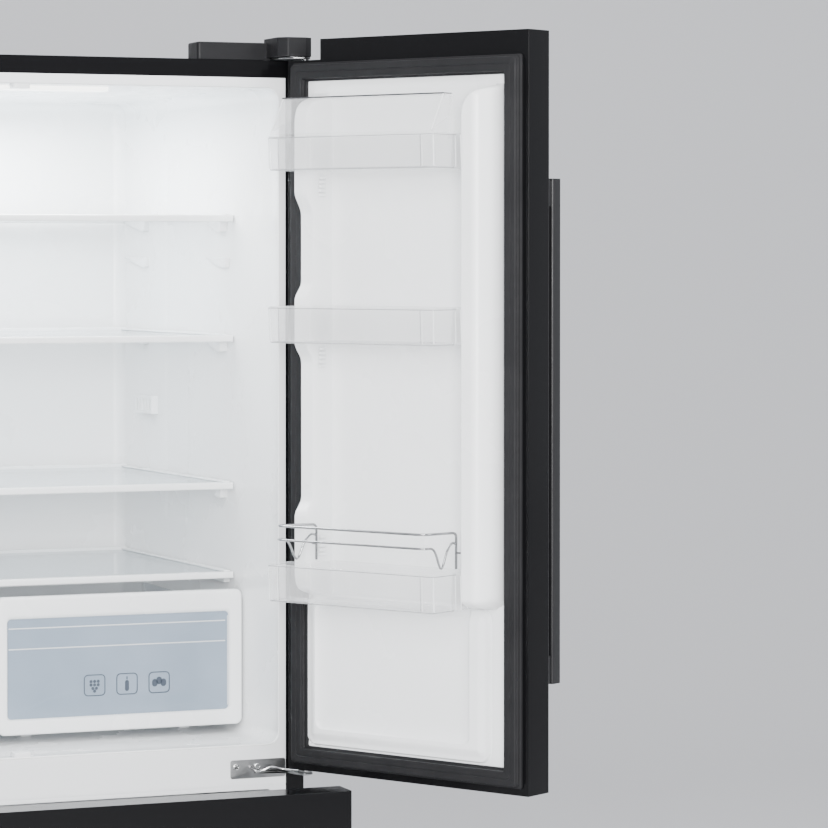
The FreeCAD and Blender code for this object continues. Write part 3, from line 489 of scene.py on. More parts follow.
def bin_rows(z0, z1):
    """Section of a bin's wall from the middle of its underside, up, over the rolled rim and down inside."""
    wall = size("bin_wall")
    lean = 1.6
    outside = np.concatenate([arc_rows(-4 - lean, z0 + 4, 4.0, -90, 0, 4),
                              [(-lean * 0.4, (z0 + z1) / 2), (0, z1 - 5.5), (0.7, z1 - 4.6)]])
    rim = arc_rows(-0.75, z1 - 1.45, 1.45, 0, 180, 6)
    inside = np.concatenate([[(-wall + 0.3, z1 - 4.0), (-wall - lean * 0.4, (z0 + z1) / 2)],
                             arc_rows(-wall - lean - 3, z0 + wall + 3, 3.0, 0, -90, 4)])
    return np.concatenate([outside, rim, inside])


BIN_FRONT_CORNERS = [(BIN_HINGE_X, BIN_STEP_Y), (BIN_HINGE_X, BIN_FRONT_Y), (BIN_FREE_X, BIN_FRONT_Y),
                     (BIN_FREE_X, BIN_STEP_Y)]


def bin_grids(z0, z1):
    """One clear bin: lofted wall, a hook at the free end and ribs under the floor."""
    corners = [(89.5, -13.5), (337.5, -13.5), (337.5, BIN_STEP_Y), *BIN_FRONT_CORNERS, (89.5, BIN_STEP_Y)]
    path = outline(corners, [5, 5, 2.0, 3, 7, 7, 1.2, 1.2], 5)
    grids = [loft(path, bin_rows(z0, z1), "xy", centre=(228.0, 44.0))]
    grids.append(block(75.5, 86.2, 35.6, 38.0, z0 + 2, z1 - 2, 1.0, "xz", 1.1))
    for y in (6, 22, 52, 66):
        grids.append(block(110, 320, y, y + 1.4, z0 + 2.4, z0 + 3.6, 0.5, "xy", 0.6))
    return grids


def rod(*points, radius):
    """Round bead along straight runs between points."""
    return tube_grid(np.array(points, float), radius, 8)


def bin_edge_grids(z0, z1):
    """Painted lines on a bin's moulded edges: painted highlights as bright rods up the corners and the hook; painted
    shade as grey bands under the rim and low down and grey uprights beside two corners.
    """
    # painted shade: grey rings under the rim and low down, and grey uprights beside the corners
    painted_shade_rods = []
    for grow, z, radius in ((0.5, z1 - 2.6, 0.7), (-2.6, z0 + 1.4, 0.7)):
        points, normals = outline(BIN_FRONT_CORNERS, [3, 7, 7, 1.2], 5)
        ring = points + normals * grow
        painted_shade_rods.append(tube_grid(np.insert(ring, 2, z, axis=1), radius, 8))
    painted_shade_rods += [rod((x, 83.4, z0 + 3), (x, 85.0, z1 - 3), radius=0.5) for x in (108.0, 354.5)]
    # painted highlight: bright rods up the corners and the hook
    uprights = ((373.4, 83.2, 0.7), (357.0, 84.6, 0.7), (105.5, 84.6, 0.6), (87.6, 83.2, 1.3),
                (85.6, 37.0, 0.8), (76.0, 37.6, 0.7))
    painted_highlight_rods = [rod((x, y - 1.6, z0 + 3), (x, y, z1 - 3), radius=r) for x, y, r in uprights]
    return painted_highlight_rods, painted_shade_rods


def flap_edge_grids():
    """Painted highlights as bright rods on the sloping edges of the flap's cheeks, and painted shade as a dark line
    along its bent front and free end.
    """
    painted_highlight_rods = [rod((x, 55.5, 1702.5), (x, 82.0, 1653.5), radius=r) for x, r in ((91.5, 1.3), (370.0, 0.8))]
    painted_shade_flap_rods = [rod((x0, y0, 1703.4), (x1, y1, 1703.4), radius=r)
            for x0, y0, x1, y1, r in ((371.0, 56.0, 90.5, 56.0, 1.0), (90.5, 56.0, 90.5, 38.0, 0.7))]
    return painted_highlight_rods, painted_shade_flap_rods


def top_bin_grids():
    """The top bin and the two ears that carry the flap."""
    low, high = span("right_top_bin")
    grids = bin_grids(low[2], TOP_RIM)
    for x in (87.0, 371.5):
        ear = [(36, TOP_RIM - 8), (48, TOP_RIM - 8), (45, high[2]), (37, high[2])]
        path = outline(ear, [1.5, 1.5, 3.4, 3.4], 4)
        grids.append(loft(path, slab_rows(x, x + 3.0, 0.8, 3), "yz"))
    return grids


def flap_grids():
    """Clear flap: an eased bent profile carried along the bin, with its cheeks and pins."""
    low, _ = span("right_bin_flap")
    x0, x1 = 90.5, 371.0
    line = bend([(37.0, 1704.0), (55.5, 1704.0), (82.6, 1653.0)], 9.0, 8)
    x = np.linspace(x0, x1, 12)
    crown = 0.8 * (1 - ((x - (x0 + x1) / 2) / ((x1 - x0) / 2)) ** 2)
    grid = np.stack(np.broadcast_arrays(x[None], line[:, :1], line[:, 1:] + crown[None] * 0.4), -1)
    grids = [sheet(grid, grid + np.array([0, -1.3, -1.9]))]
    for xa in (x0, x1 - 2.0):
        path = outline([(38, 1675), (80, 1655), (54, 1702.5), (38, 1702.5)], [2, 2, 5, 2], 4)
        grids.append(loft(path, slab_rows(xa, xa + 2.0, 0.6, 3), "yz"))
    for xa in (low[0], x1 - 0.5):
        circle = outline(rect(39.0, 43.0, 1696.0, 1700.0), 1.99, 4)
        grids.append(loft(circle, slab_rows(xa, xa + 4.0, 0.4, 2), "yz"))
    return grids


def thinned(line, gap):
    """Line without the points that lie closer than gap behind the one before."""
    keep = np.linalg.norm(np.diff(line, axis=0), axis=1) > gap
    return line[np.concatenate([[True], keep])]


def rail_grids():
    """Wire rack: a top wire with its legs in one bent line, a lower wire with a dip in each arm, and pegs."""
    low, high = span("right_bottle_rail")
    wire = size("rack_wire")
    top = high[2] - wire
    lower = top - 19.0
    foot = low[2]
    upper = bend([(335, 26, foot), (335, 26, top), (361, 77, top), (352, 83, top), (111, 83, top), (102, 77, top),
                  (92, 26, top), (92, 26, foot)], 7.0, 6)

    def arm(leg, corner):
        """Side arm from leg to corner whose height follows a smooth bump and a smooth dip."""
        t = np.linspace(0, 1, 26)
        dip = -29.0 * np.exp(-((t - 0.52) / 0.17) ** 2)
        dip = dip + 4.0 * np.exp(-((t - 0.12) / 0.12) ** 2) + 2.0 * (1 - t)
        return np.stack([leg + (corner - leg) * t, 26 + 51 * t, lower + dip], -1)

    front = bend([(361, 77, lower), (353, 83, lower), (110, 83, lower), (102, 77, lower)], 6.0, 6)
    line = np.concatenate([arm(335, 361)[:-1], front, arm(92, 102)[::-1][1:]])
    grids = [tube_grid(thinned(upper, 0.05), wire, 10), tube_grid(thinned(line, 0.3), 1.6, 10)]
    for leg, end in ((335, 342.4), (92, 84.6)):
        grids.append(tube_grid(np.linspace((leg, 26, lower - 8), (end, 26, lower - 8), 3), 1.4, 8))
    return grids


def section(w, z0, z1, r, fractions):
    """Rounded rectangle with extra points along its two upright sides, anticlockwise from the lower left."""
    points, _ = outline(rect(-w, w, z0, z1), r, 5)
    arcs = points.reshape(4, -1, 2)
    f = np.asarray(fractions)[:, None]
    across = np.linspace(0.04, 0.96, 14)[:, None]

    def line(a, b, t):
        return a + (b - a) * t

    return np.concatenate([arcs[0], line(arcs[0][-1], arcs[1][0], across), arcs[1], line(arcs[1][-1], arcs[2][0], f),
                           arcs[2], line(arcs[2][-1], arcs[3][0], across), arcs[3],
                           line(arcs[3][-1], arcs[0][0], 1 - f[::-1])])


def wall_half(y):
    """Half width of the compartment at a depth."""
    return MOUTH_HALF + (REAR_HALF - MOUTH_HALF) * (y - MOUTH_Y) / (REAR_Y - MOUTH_Y)


def interior_grid():
    """Formed compartment: rounded section, narrowing with depth, an upright channel pressed into each side.

    Its half width is wall_half at each depth; the channel moves the wall outwards by 1.7 mm times two smooth
    steps in y and z; the mouth turns over a 3 mm lip and the rear closes over a 16 mm round.
    """
    z0, z1 = ROOM_FLOOR, ROOM_TOP
    zs = np.concatenate([np.linspace(820, 1700, 26), np.arange(1078, 1092, 2.0), np.arange(1645, 1661, 2.0)])
    fractions = (np.unique(zs) - z0 - ROOM_ROUND) / (z1 - z0 - 2 * ROOM_ROUND)
    fractions = fractions[(fractions > 0.01) & (fractions < 0.99)]

    def ring(y, grow, radius):
        """One rounded section at depth y, with the channel pressed into its sides."""
        path = section(wall_half(y) + grow, z0 - grow, z1 + grow, radius, fractions)
        sink = CHANNEL_SINK * ease((y - 344) / 5) * ease((446 - y) / 14)
        sink = sink * ease((path[:, 1] - 1080) / 8) * ease((1657 - path[:, 1]) / 8)
        sink = np.where(np.abs(path[:, 0]) > wall_half(y) - 4, sink, 0.0)
        path = path + np.stack([np.sign(path[:, 0]) * sink, np.zeros(len(path))], 1)
        return np.insert(path, 1, y, axis=1)

    ys = np.concatenate([np.linspace(4, 606, 22), np.arange(342, 352, 1.5), np.arange(430, 448, 3.0)])
    ys = np.unique(ys)
    inner = [ring(y, 0.0, ROOM_ROUND) for y in ys]
    for w in np.linspace(0, 90, 7):
        turn = math.radians(w)
        shrink = REAR_ROUND * (1 - math.cos(turn))
        y = REAR_Y - REAR_ROUND + REAR_ROUND * math.sin(turn)
        inner.append(ring(y, -shrink, max(ROOM_ROUND - shrink, 3)))
    outer = [ring(y, 2.2, 19.0) for y in ys[ys > 3]]
    outer.append(ring(627.0, 0.0, ROOM_ROUND))
    outer.append(ring(628.4, -12.0, 8.0))
    lip = [ring(2.6, -0.6, 17.4), ring(2.1, 0.0, ROOM_ROUND), ring(2.4, 1.4, 19.0)]
    middle = (ROOM_FLOOR + ROOM_TOP) / 2
    mid_out = np.broadcast_to(np.array([0, 628.4, middle]), inner[0].shape)
    mid_in = np.broadcast_to(np.array([0, REAR_Y, middle]), inner[0].shape)
    return np.array([mid_out] + outer[::-1] + lip[::-1] + inner + [mid_in])


def rest_grid(y0, y1, z0, z1, stand, side):
    """Moulded rest on a side wall: a wedge deepest near its front end, with rounded rims, along the wall."""
    path = outline([(y0 + 4, z0), (y0 + 18, z0), (y1, z1 - 2), (y1, z1), (y0, z1)], [3.0, 5.0, 0.6, 0.6, 1.5],
                   3)
    grid = loft(path, slab_rows(-stand, 1.6, 1.6, 3), "yz")
    grid[..., 0] += wall_half(grid[..., 1])
    grid[..., 0] *= side
    return grid


def interior_grids():
    """Compartment shell, its moulded rests, the wall and runners under the crisper cover, the bar guides."""
    grids = [interior_grid()]
    for side in (1, -1):
        for top in SHELF_TOPS:
            grids.append(rest_grid(190, 262, top - 25, top - REST_DROP, 11, side))
            grids.append(rest_grid(505, 597, top - 22, top - REST_DROP, 9, side))
        grids.append(rest_grid(180, 258, 1467, 1483, 7, side))
        grids.append(rest_grid(505, 597, 1467, 1483, 7, side))
        grids.append(rest_grid(180, 590, 1004, 1016, 9, side))
        for x in (60.0, 300.0):
            a, b = sorted((side * x, side * (x + 16)))
            grids.append(block(a, b, 205, 470, 789.5, 801.8, 1.2, "xy", 2.0))
    grids.append(block(-4, 4, 176, 590, 789.5, 1016, 1.2, "xy", 2.0))
    for z0 in (ROOM_FLOOR, ROOM_TOP - 7):
        grids.append(block(-5, 20, 2.5, 26, z0, z0 + 7, 1.0, "xy", 4.0))
    return grids


def crisper_frame_grids(side):
    """Rolled frame between an outer and a window rounded rectangle, as one closed section carried round."""
    low, high = span(f"crisper_{side}_front")
    if side == "left":
        low, high = flip(np.array([high[0], low[1], low[2]])), flip(np.array([low[0], high[1], high[2]]))
    x0, x1, y0, y1, z0, z1 = low[0], high[0], low[1], high[1], low[2], high[2]
    wx0, wx1, wz0, wz1 = 20.0, x1 - 20.0, z0 + 22.5, z1 - 31.5

    def entry(p, y, r):
        """Rounded rectangle a share p of the way from the outer edge to the window."""
        return (x0 + (wx0 - x0) * p, x1 + (wx1 - x1) * p, z0 + (wz0 - z0) * p, z1 + (wz1 - z1) * p, r, y)

    rows = [entry(0.0, y1, 9), entry(0.0, y0 + 4, 9)]
    rows += [entry(0.16 * (1 - math.cos(w)), y0 + 4 - 4 * math.sin(w), 9)
             for w in np.linspace(0.3, math.pi / 2, 4)]
    rows += [entry(0.5, y0 - 0.2, 8), entry(0.8, y0, 7)]
    rows += [entry(0.86, y0 + 0.3, 7), entry(0.93, y0 + 1.4, 6.5), entry(0.985, y0 + 3.6, 6)]
    rows += [entry(1.0, y0 + 5, 6), entry(1.0, y1, 6)]
    return mirrored([ring_rows(rows, 6)], side)


def crisper_pane_grids(side):
    """Clear pane, its three moulded ribs, and the outlines of three rounded squares."""
    low, high = span(f"crisper_{side}_pane")
    x0, x1 = sorted((abs(low[0]), abs(high[0])))
    y, z0, z1 = low[1], low[2], high[2]
    pane = [loft(outline(rect(x0 - 0.6, x1 + 0.6, z0 - 0.6, z1 + 0.6), 6, 6), slab_rows(y, y + 3.0, 0.6, 3),
                 "xz")]
    ribs = [rod((x0 + 2, y - 0.3, z), (x1 - 5, y - 0.3, z), radius=0.9) for z in (z1 - 13.6, z1 - 43.1)]
    ribs.append(rod((x1 - 1.2, y - 0.3, z0 + 6), (x1 - 1.2, y - 0.3, z1 - 6), radius=0.7))
    marks = []
    for k in range(3):
        a = 133.0 + 48.5 * k
        b = z0 + 28.0
        outer = [(a, a + 32, b, b + 31, 6, y - 0.4), (a + 1.3, a + 30.7, b + 1.3, b + 29.7, 5, y - 0.4),
                 (a + 1.3, a + 30.7, b + 1.3, b + 29.7, 5, y + 0.4), (a, a + 32, b, b + 31, 6, y + 0.4)]
        marks.append(ring_rows(outer, 4))
    return [mirrored(grids, side) for grids in (pane, ribs, marks)]


def crisper_symbols(side):
    """Plain picture marks in the squares: a cluster of balls, an upright drop, a row of leaves."""
    low, _ = span(f"crisper_{side}_pane")
    y, z = low[1], low[2] + 43.0
    grids = []

    def disc(x, zc, rx, rz):
        """Thin rounded plate on the pane."""
        path = outline(rect(x - rx, x + rx, zc - rz, zc + rz), min(rx, rz) * 0.98, 4)
        grids.append(loft(path, slab_rows(y - 0.35, y + 0.35, 0.2, 1), "xz"))

    for row, count in ((6, 3), (1, 3), (-4, 2), (-8, 1)):
        for k in range(count):
            disc(149 + (k - (count - 1) / 2) * 5.4, z + row, 2.3, 2.3)
    disc(197.5, z - 2, 3.0, 8.0)
    disc(197.5, z + 9, 0.9, 2.4)
    for k, zc in ((-1, z), (0, z + 3), (1, z)):
        disc(246 + k * 6.5, zc, 4.2, 5.6)
    return mirrored(grids, side)


def shelf_grids(top):
    """White trims round one shelf: rounded sections across its front and rear and along the side walls."""
    grids = []
    for y0, y1, za, zb, r in ((163.0, 176.0, top - 10, top, 2.2), (599.0, 608.0, top - 9, top + 3, 1.8)):
        path = outline(rect(y0, y1, za, zb), r, 4)
        grid = loft(path, slab_rows(-1.0, 1.0, 0.0015, 1), "yz")
        grid[..., 0] *= wall_half(grid[..., 1]) - SHELF_GAP
        grids.append(grid)
    for side in (1.0, -1.0):
        strip = block(-9.0, 0.0, 175.0, 599.0, top - 1.5, top + 1.5, 1.1, "xz", 1.2)
        strip[..., 0] = side * (strip[..., 0] + wall_half(strip[..., 1]) - SHELF_GAP)
        grids.append(strip)
    return grids


def hinge_grids(side):
    """Pressed hinges of one side: screwed plates, arms, pins with eased tips and a notched cam."""
    low, high = span("hinges")
    top = high[2] - 3.0
    px, py = HINGE[0] / MM, (HINGE[1] - FRONT_Y) / MM

    def pin(radius, z0, z1):
        """Round upright pin on the hinge axis, with eased ends."""
        path = outline(rect(px - radius, px + radius, py - radius, py + radius), radius * 0.999, 6)
        return loft(path, slab_rows(z0, z1, 0.8, 3), "xy")

    grids = [block(309.5, 392, -1.5, 0, low[2], low[2] + 26.5, 0.6, "xz", 3.0, 4)]
    arm = outline([(345, -1.5), (345, -6), (386, -6), (397, -44), (403, -50), (412, -50), (418, -45), (418, -33),
                   (408, -1.5)], [0.5, 1.5, 12, 5, 5, 5, 5, 5, 1.0], 4)
    grids.append(loft(arm, slab_rows(750.0, 753.0, 0.9, 3), "xy", centre=(400.0, -22.0)))
    rib = outline([(352, -5), (384, -5), (384, -2), (352, -2)], 1.0, 3)
    grids.append(loft(rib, slab_rows(752.5, 756.5, 1.0, 3), "xy"))
    grids += [pin(9.0, 753.0, 757.0), pin(5.0, 756.0, 771.8)]
    for angle in (25, 145, 265):
        cx, cy = px + 7.0 * math.cos(math.radians(angle)), py + 7.0 * math.sin(math.radians(angle))
        grids.append(block(cx - 1.6, cx + 1.6, cy - 1.6, cy + 1.6, 756.5, 759.0, 0.7, "xy", 1.5))
    plate = outline([(300, 12), (400, 12), (400, 43), (300, 43)], 3, 4)
    grids.append(loft(plate, slab_rows(top, top + 3.0, 0.8, 3), "xy"))
    reach = outline([(372, 13), (372, -30), (388, -48), (404, -51.5), (414, -47), (416, -36), (414, 13)],
                    [1, 8, 8, 5, 5, 6, 1], 4)
    grids.append(loft(reach, slab_rows(top, top + 3.0, 0.8, 3), "xy", centre=(398.0, -20.0)))
    grids.append(pin(5.0, top - 18.0, top + 1.0))
    return mirrored(grids, side)


def spring_grids(side):
    """Bent spring wire between the middle hinge's plate and its cam, as one eased line."""
    line = bend([(338, -3.4, 760), (346, -4, 753), (354, -6, 752.5), (367, -9, 759.5), (384, -13, 754.8),
                 (396, -24, 754.8),
                 (401, -33, 755.5)], 6.0, 5)
    return mirrored([tube_grid(line, 1.5, 8)], side)


# ---------------------------------------------------------------- materials
class Finish:
    """Small helper that builds one node material around a Principled shader, in Object coordinates."""

    def __init__(self, name, colour, roughness, metallic=0.0, **sockets):
        self.material = bpy.data.materials.new(name)
        self.material.use_nodes = True
        self.tree = self.material.node_tree
        self.shader = self.tree.nodes["Principled BSDF"]
        self.place = self.tree.nodes.new("ShaderNodeTexCoord")
        self.colour = tuple(colour)[:3] + (1.0,)
        self.set("Base Color", self.colour)
        self.set("Roughness", roughness)
        self.set("Metallic", metallic)
        for socket, value in sockets.items():
            self.set(socket.replace("_", " "), value)
        self.normal = None

    def set(self, socket, value):
        """One value on the shader."""
        self.shader.inputs[socket].default_value = value

    def node(self, kind, **inputs):
        """New node with its input values."""
        item = self.tree.nodes.new(kind)
        for socket, value in inputs.items():
            item.inputs[socket.replace("_", " ")].default_value = value
        return item

    def stretched(self, scale):
        """Object coordinates scaled along each axis."""
        mapping = self.node("ShaderNodeMapping", Scale=scale)
        self.tree.links.new(self.place.outputs["Object"], mapping.inputs["Vector"])
        return mapping.outputs["Vector"]

    def noise(self, scale, detail=3.0, stretch=(1, 1, 1)):
        """Cloudy pattern; scale counts features per metre."""
        item = self.node("ShaderNodeTexNoise", Scale=scale, Detail=detail, Roughness=0.5)
        self.tree.links.new(self.stretched(stretch), item.inputs["Vector"])
        return item.outputs["Fac"]

    def cells(self, scale):
        """Pattern of grains; scale counts them per metre."""
        item = self.node("ShaderNodeTexVoronoi", Scale=scale)
        self.tree.links.new(self.stretched((1, 1, 1)), item.inputs["Vector"])
        return item.outputs["Distance"]

    def ramp(self, source, low, high, from_low=0.3, from_high=0.7):
        """Map a 0 to 1 pattern onto low to high."""
        item = self.node("ShaderNodeMapRange")
        limits = {"From Min": from_low, "From Max": from_high, "To Min": low, "To Max": high}
        for socket, value in limits.items():
            item.inputs[socket].default_value = value
        self.tree.links.new(source, item.inputs["Value"])
        return item.outputs["Result"]

    def rough(self, source, low, high):
        """Roughness varies with a pattern."""
        self.tree.links.new(self.ramp(source, low, high), self.shader.inputs["Roughness"])
        return self

    def tint(self, source, other, low=0.0, high=1.0):
        """Base colour drifts between its own value and another."""
        mix = self.node("ShaderNodeMix")
        mix.data_type = "RGBA"
        mix.inputs[6].default_value = self.colour
        mix.inputs[7].default_value = tuple(other)[:3] + (1.0,)
        self.tree.links.new(self.ramp(source, low, high), mix.inputs[0])
        self.tree.links.new(mix.outputs[2], self.shader.inputs["Base Color"])
        return self

    def bump(self, source, strength, distance):
        """Fine relief; several calls stack up."""
        item = self.node("ShaderNodeBump", Strength=strength, Distance=distance)
        self.tree.links.new(source, item.inputs["Height"])
        if self.normal:
            self.tree.links.new(self.normal, item.inputs["Normal"])
        self.normal = item.outputs["Normal"]
        self.tree.links.new(self.normal, self.shader.inputs["Normal"])
        return self


FINISHES = {}


def finish(name):
    """Material by name, made once."""
    if name not in FINISHES:
        FINISHES[name] = MAKERS[name]().material
    return FINISHES[name]


def chosen(name):
    """The user's colour of that name."""
    return getattr(bpy.context.scene.fridge_colours, name)


def black_enamel():
    """Deep gloss coat over sheet: faint orange peel and slow changes of gloss."""
    look = Finish("black_enamel", chosen("case"), 0.16, Specular_IOR_Level=0.12, Coat_Weight=0.03,
                  Coat_Roughness=0.05)
    look.rough(look.noise(7.0, 4.0), 0.10, 0.17)
    return look.bump(look.noise(420.0, 2.0), 0.04, 0.0004)


def black_plastic():
    """Moulded black plastic with a fine spark-eroded grain."""
    look = Finish("black_plastic", (0.009, 0.009, 0.010), 0.45, Specular_IOR_Level=0.15)
    look.rough(look.noise(30.0), 0.38, 0.52)
    return look.bump(look.cells(1800.0), 0.18, 0.0003)


def white_plastic():
    """Vacuum-formed white sheet: satin, with slow warm and cool drifts and very soft waves."""
    look = Finish("white_plastic", chosen("liner"), 0.28, Subsurface_Weight=0.05,
                  Subsurface_Radius=(0.004, 0.004, 0.004), Subsurface_Scale=0.5)
    look.rough(look.noise(5.0, 4.0), 0.22, 0.33)
    look.tint(look.noise(2.2, 2.0), (0.80, 0.815, 0.82), 0.0, 0.35)
    look.bump(look.noise(11.0, 2.0), 0.05, 0.003)
    return look.bump(look.noise(900.0, 2.0), 0.05, 0.0002)


def white_enamel():
    """White coated front frame."""
    look = Finish("white_enamel", chosen("frame"), 0.22, Coat_Weight=0.3, Coat_Roughness=0.1)
    look.rough(look.noise(9.0), 0.18, 0.28)
    return look.bump(look.noise(350.0, 2.0), 0.05, 0.0004)


def black_seal():
    """Soft extruded black seal, dull, with a faint bloom and fine drag lines."""
    look = Finish("black_seal", chosen("seal"), 0.55, Specular_IOR_Level=0.12)
    look.rough(look.noise(60.0), 0.46, 0.64)
    look.tint(look.noise(18.0, 4.0), (0.018, 0.018, 0.019), 0.0, 0.6)
    return look.bump(look.noise(700.0, 3.0), 0.12, 0.0003)


def see_through(look, face_on, edge_on, power):
    """Opacity that grows from face-on to edge-on, by the Layer Weight facing term."""
    weight = look.node("ShaderNodeLayerWeight", Blend=power)
    look.tree.links.new(look.ramp(weight.outputs["Facing"], face_on, edge_on, 0.0, 1.0),
                        look.shader.inputs["Alpha"])
    return look


def clear_plastic():
    """Clear moulded styrene: nearly invisible face on, brighter edge on, with flow waves and hairlines."""
    look = Finish("clear_plastic", chosen("clear"), 0.06)
    look.rough(look.noise(24.0, 5.0), 0.03, 0.16)
    look.bump(look.noise(38.0, 2.0), 0.05, 0.0012)
    look.bump(look.noise(260.0, 4.0, (0.15, 1, 1)), 0.04, 0.0003)
    return see_through(look, 0.05, 0.50, 0.45)


def clear_edge():
    """Painted highlight: near-white, nearly opaque finish for the thick edges of the clear mouldings, standing for
    the light they gather.
    """
    look = Finish("clear_edge", (0.93, 0.94, 0.95), 0.12)
    look.rough(look.noise(60.0, 4.0), 0.06, 0.2)
    look.bump(look.noise(300.0, 3.0), 0.05, 0.0003)
    return see_through(look, 0.62, 0.95, 0.4)


def shaded_edge():
    """Painted shade: grey finish under a clear rim, standing for where it turns the light away."""
    look = Finish("shaded_edge", (0.30, 0.31, 0.32), 0.25)
    look.rough(look.noise(80.0, 4.0), 0.15, 0.35)
    look.bump(look.noise(300.0, 3.0), 0.05, 0.0003)
    return see_through(look, 0.30, 0.6, 0.4)


def dark_edge():
    """Painted shade: dark finish on the bent edge of the clear flap, standing for where it turns the view away."""
    look = Finish("dark_edge", (0.035, 0.036, 0.038), 0.2)
    look.rough(look.noise(80.0, 4.0), 0.12, 0.3)
    return look.bump(look.noise(300.0, 3.0), 0.05, 0.0003)


def pane_blue():
    """Tinted clear pane of the crispers, cloudier in patches."""
    look = Finish("pane_blue", chosen("pane"), 0.08)
    look.rough(look.noise(20.0, 4.0), 0.05, 0.2)
    look.tint(look.noise(6.0, 3.0), (0.42, 0.50, 0.60), 0.0, 0.7)
    look.bump(look.noise(45.0, 2.0), 0.05, 0.001)
    return see_through(look, 0.55, 0.9, 0.4)


def tray_clear():
    """Clear tray behind the pane: pale blue, ribbed by its moulding."""
    look = Finish("tray_clear", (0.70, 0.74, 0.78), 0.12)
    look.tint(look.noise(9.0, 3.0), (0.84, 0.88, 0.92), 0.0, 0.9)
    look.bump(look.noise(30.0, 3.0), 0.08, 0.001)
    return see_through(look, 0.18, 0.7, 0.45)


def tempered_glass():
    """Shelf glass: clear from the front, pale blue-white when seen at a low angle."""
    look = Finish("tempered_glass", chosen("glass"), 0.04)
    look.rough(look.noise(12.0, 4.0), 0.02, 0.08)
    look.bump(look.noise(3.0, 1.0), 0.03, 0.002)
    return see_through(look, 0.22, 0.70, 0.35)


def bright_wire():
    """Bright plated wire and screws with light haze."""
    look = Finish("bright_wire", (0.34, 0.345, 0.35), 0.12, 1.0)
    look.rough(look.noise(120.0, 4.0), 0.06, 0.2)
    return look.bump(look.noise(900.0, 3.0), 0.05, 0.0002)


def zinc_plate():
    """Pressed plated steel: mottled crystals and rolling lines."""
    look = Finish("zinc_plate", (0.22, 0.225, 0.23), 0.34, 1.0)
    look.rough(look.noise(90.0, 4.0), 0.28, 0.42)
    look.tint(look.noise(60.0, 5.0), (0.30, 0.30, 0.30))
    return look.bump(look.noise(500.0, 3.0, (1, 1, 0.1)), 0.12, 0.0003)


def galvanised():
    """Galvanised sheet with broad spangle."""
    look = Finish("galvanised", (0.52, 0.54, 0.55), 0.38, 1.0)
    look.rough(look.cells(70.0), 0.3, 0.5)
    look.tint(look.cells(45.0), (0.70, 0.71, 0.72))
    return look.bump(look.cells(70.0), 0.08, 0.0004)


def rigid_foam():
    """Cream polyurethane foam with open cells."""
    look = Finish("rigid_foam", (0.78, 0.68, 0.44), 0.9)
    look.tint(look.noise(14.0, 5.0), (0.62, 0.50, 0.28))
    look.bump(look.cells(500.0), 0.6, 0.001)
    return look.bump(look.noise(35.0, 4.0), 0.4, 0.004)


def cast_housing():
    """Black painted pump housing with a pebbled coat."""
    look = Finish("cast_housing", (0.015, 0.015, 0.016), 0.42)
    look.rough(look.noise(60.0), 0.32, 0.55)
    look.tint(look.noise(25.0, 5.0), (0.05, 0.04, 0.035), 0.0, 0.5)
    return look.bump(look.noise(260.0, 4.0), 0.25, 0.0006)


def copper_tube():
    """Aluminium evaporator tube and fins with frost-dulled patches."""
    look = Finish("copper_tube", (0.70, 0.71, 0.72), 0.35, 1.0)
    look.rough(look.noise(80.0, 4.0), 0.25, 0.55)
    return look.bump(look.noise(300.0, 3.0), 0.2, 0.0004)


def light_diffuser():
    """Milky lamp cover with fine prisms."""
    look = Finish("light_diffuser", (0.93, 0.93, 0.90), 0.4, Subsurface_Weight=0.4,
                  Subsurface_Radius=(0.01, 0.01, 0.01), Subsurface_Scale=0.6, Emission_Color=(1.0, 0.98, 0.94, 1.0),
                  Emission_Strength=bpy.context.scene.fridge_stage.lamp)
    wave = look.node("ShaderNodeTexWave", Scale=160.0)
    look.tree.links.new(look.place.outputs["Object"], wave.inputs["Vector"])
    return look.bump(wave.outputs["Fac"], 0.3, 0.0006)


def handle_black():
    """Black handle bar: satin coat with a long brushed grain."""
    look = Finish("handle_black", (0.010, 0.010, 0.011), 0.34, 0.0, Specular_IOR_Level=0.35)
    look.rough(look.noise(300.0, 3.0, (1, 1, 0.04)), 0.28, 0.44)
    return look.bump(look.noise(600.0, 2.0, (1, 1, 0.05)), 0.06, 0.0002)


def screw_bright():
    """Nickel-bright screws and springs."""
    look = Finish("screw_bright", (0.80, 0.80, 0.80), 0.16, 1.0)
    look.rough(look.noise(200.0, 3.0), 0.12, 0.26)
    return look.bump(look.noise(1200.0, 2.0), 0.05, 0.0001)


def mark_ink():
    """Thin grey-blue printing on the crisper pane."""
    look = Finish("mark_ink", (0.045, 0.06, 0.085), 0.5)
    look.rough(look.noise(200.0), 0.4, 0.6)
    return look.bump(look.noise(1500.0, 2.0), 0.05, 0.0001)


MAKERS = {maker.__name__: maker for maker in (
    black_enamel, black_plastic, white_plastic, white_enamel, black_seal, clear_plastic, clear_edge, shaded_edge,
    dark_edge, pane_blue, tray_clear, tempered_glass, bright_wire, zinc_plate, galvanised, rigid_foam, cast_housing,
    copper_tube, light_diffuser, handle_black, screw_bright, mark_ink)}


# ---------------------------------------------------------------- settings
def colour_setting(label, words, default):
    """A colour the user may change."""
    return bpy.props.FloatVectorProperty(name=label, description=words, subtype="COLOR", size=3, min=0, max=1,
                                         default=default)


def length_setting(label, words, default):
    """A length the user may change, in metres."""
    return bpy.props.FloatProperty(name=label, description=words, default=default, min=0.0, unit="LENGTH")


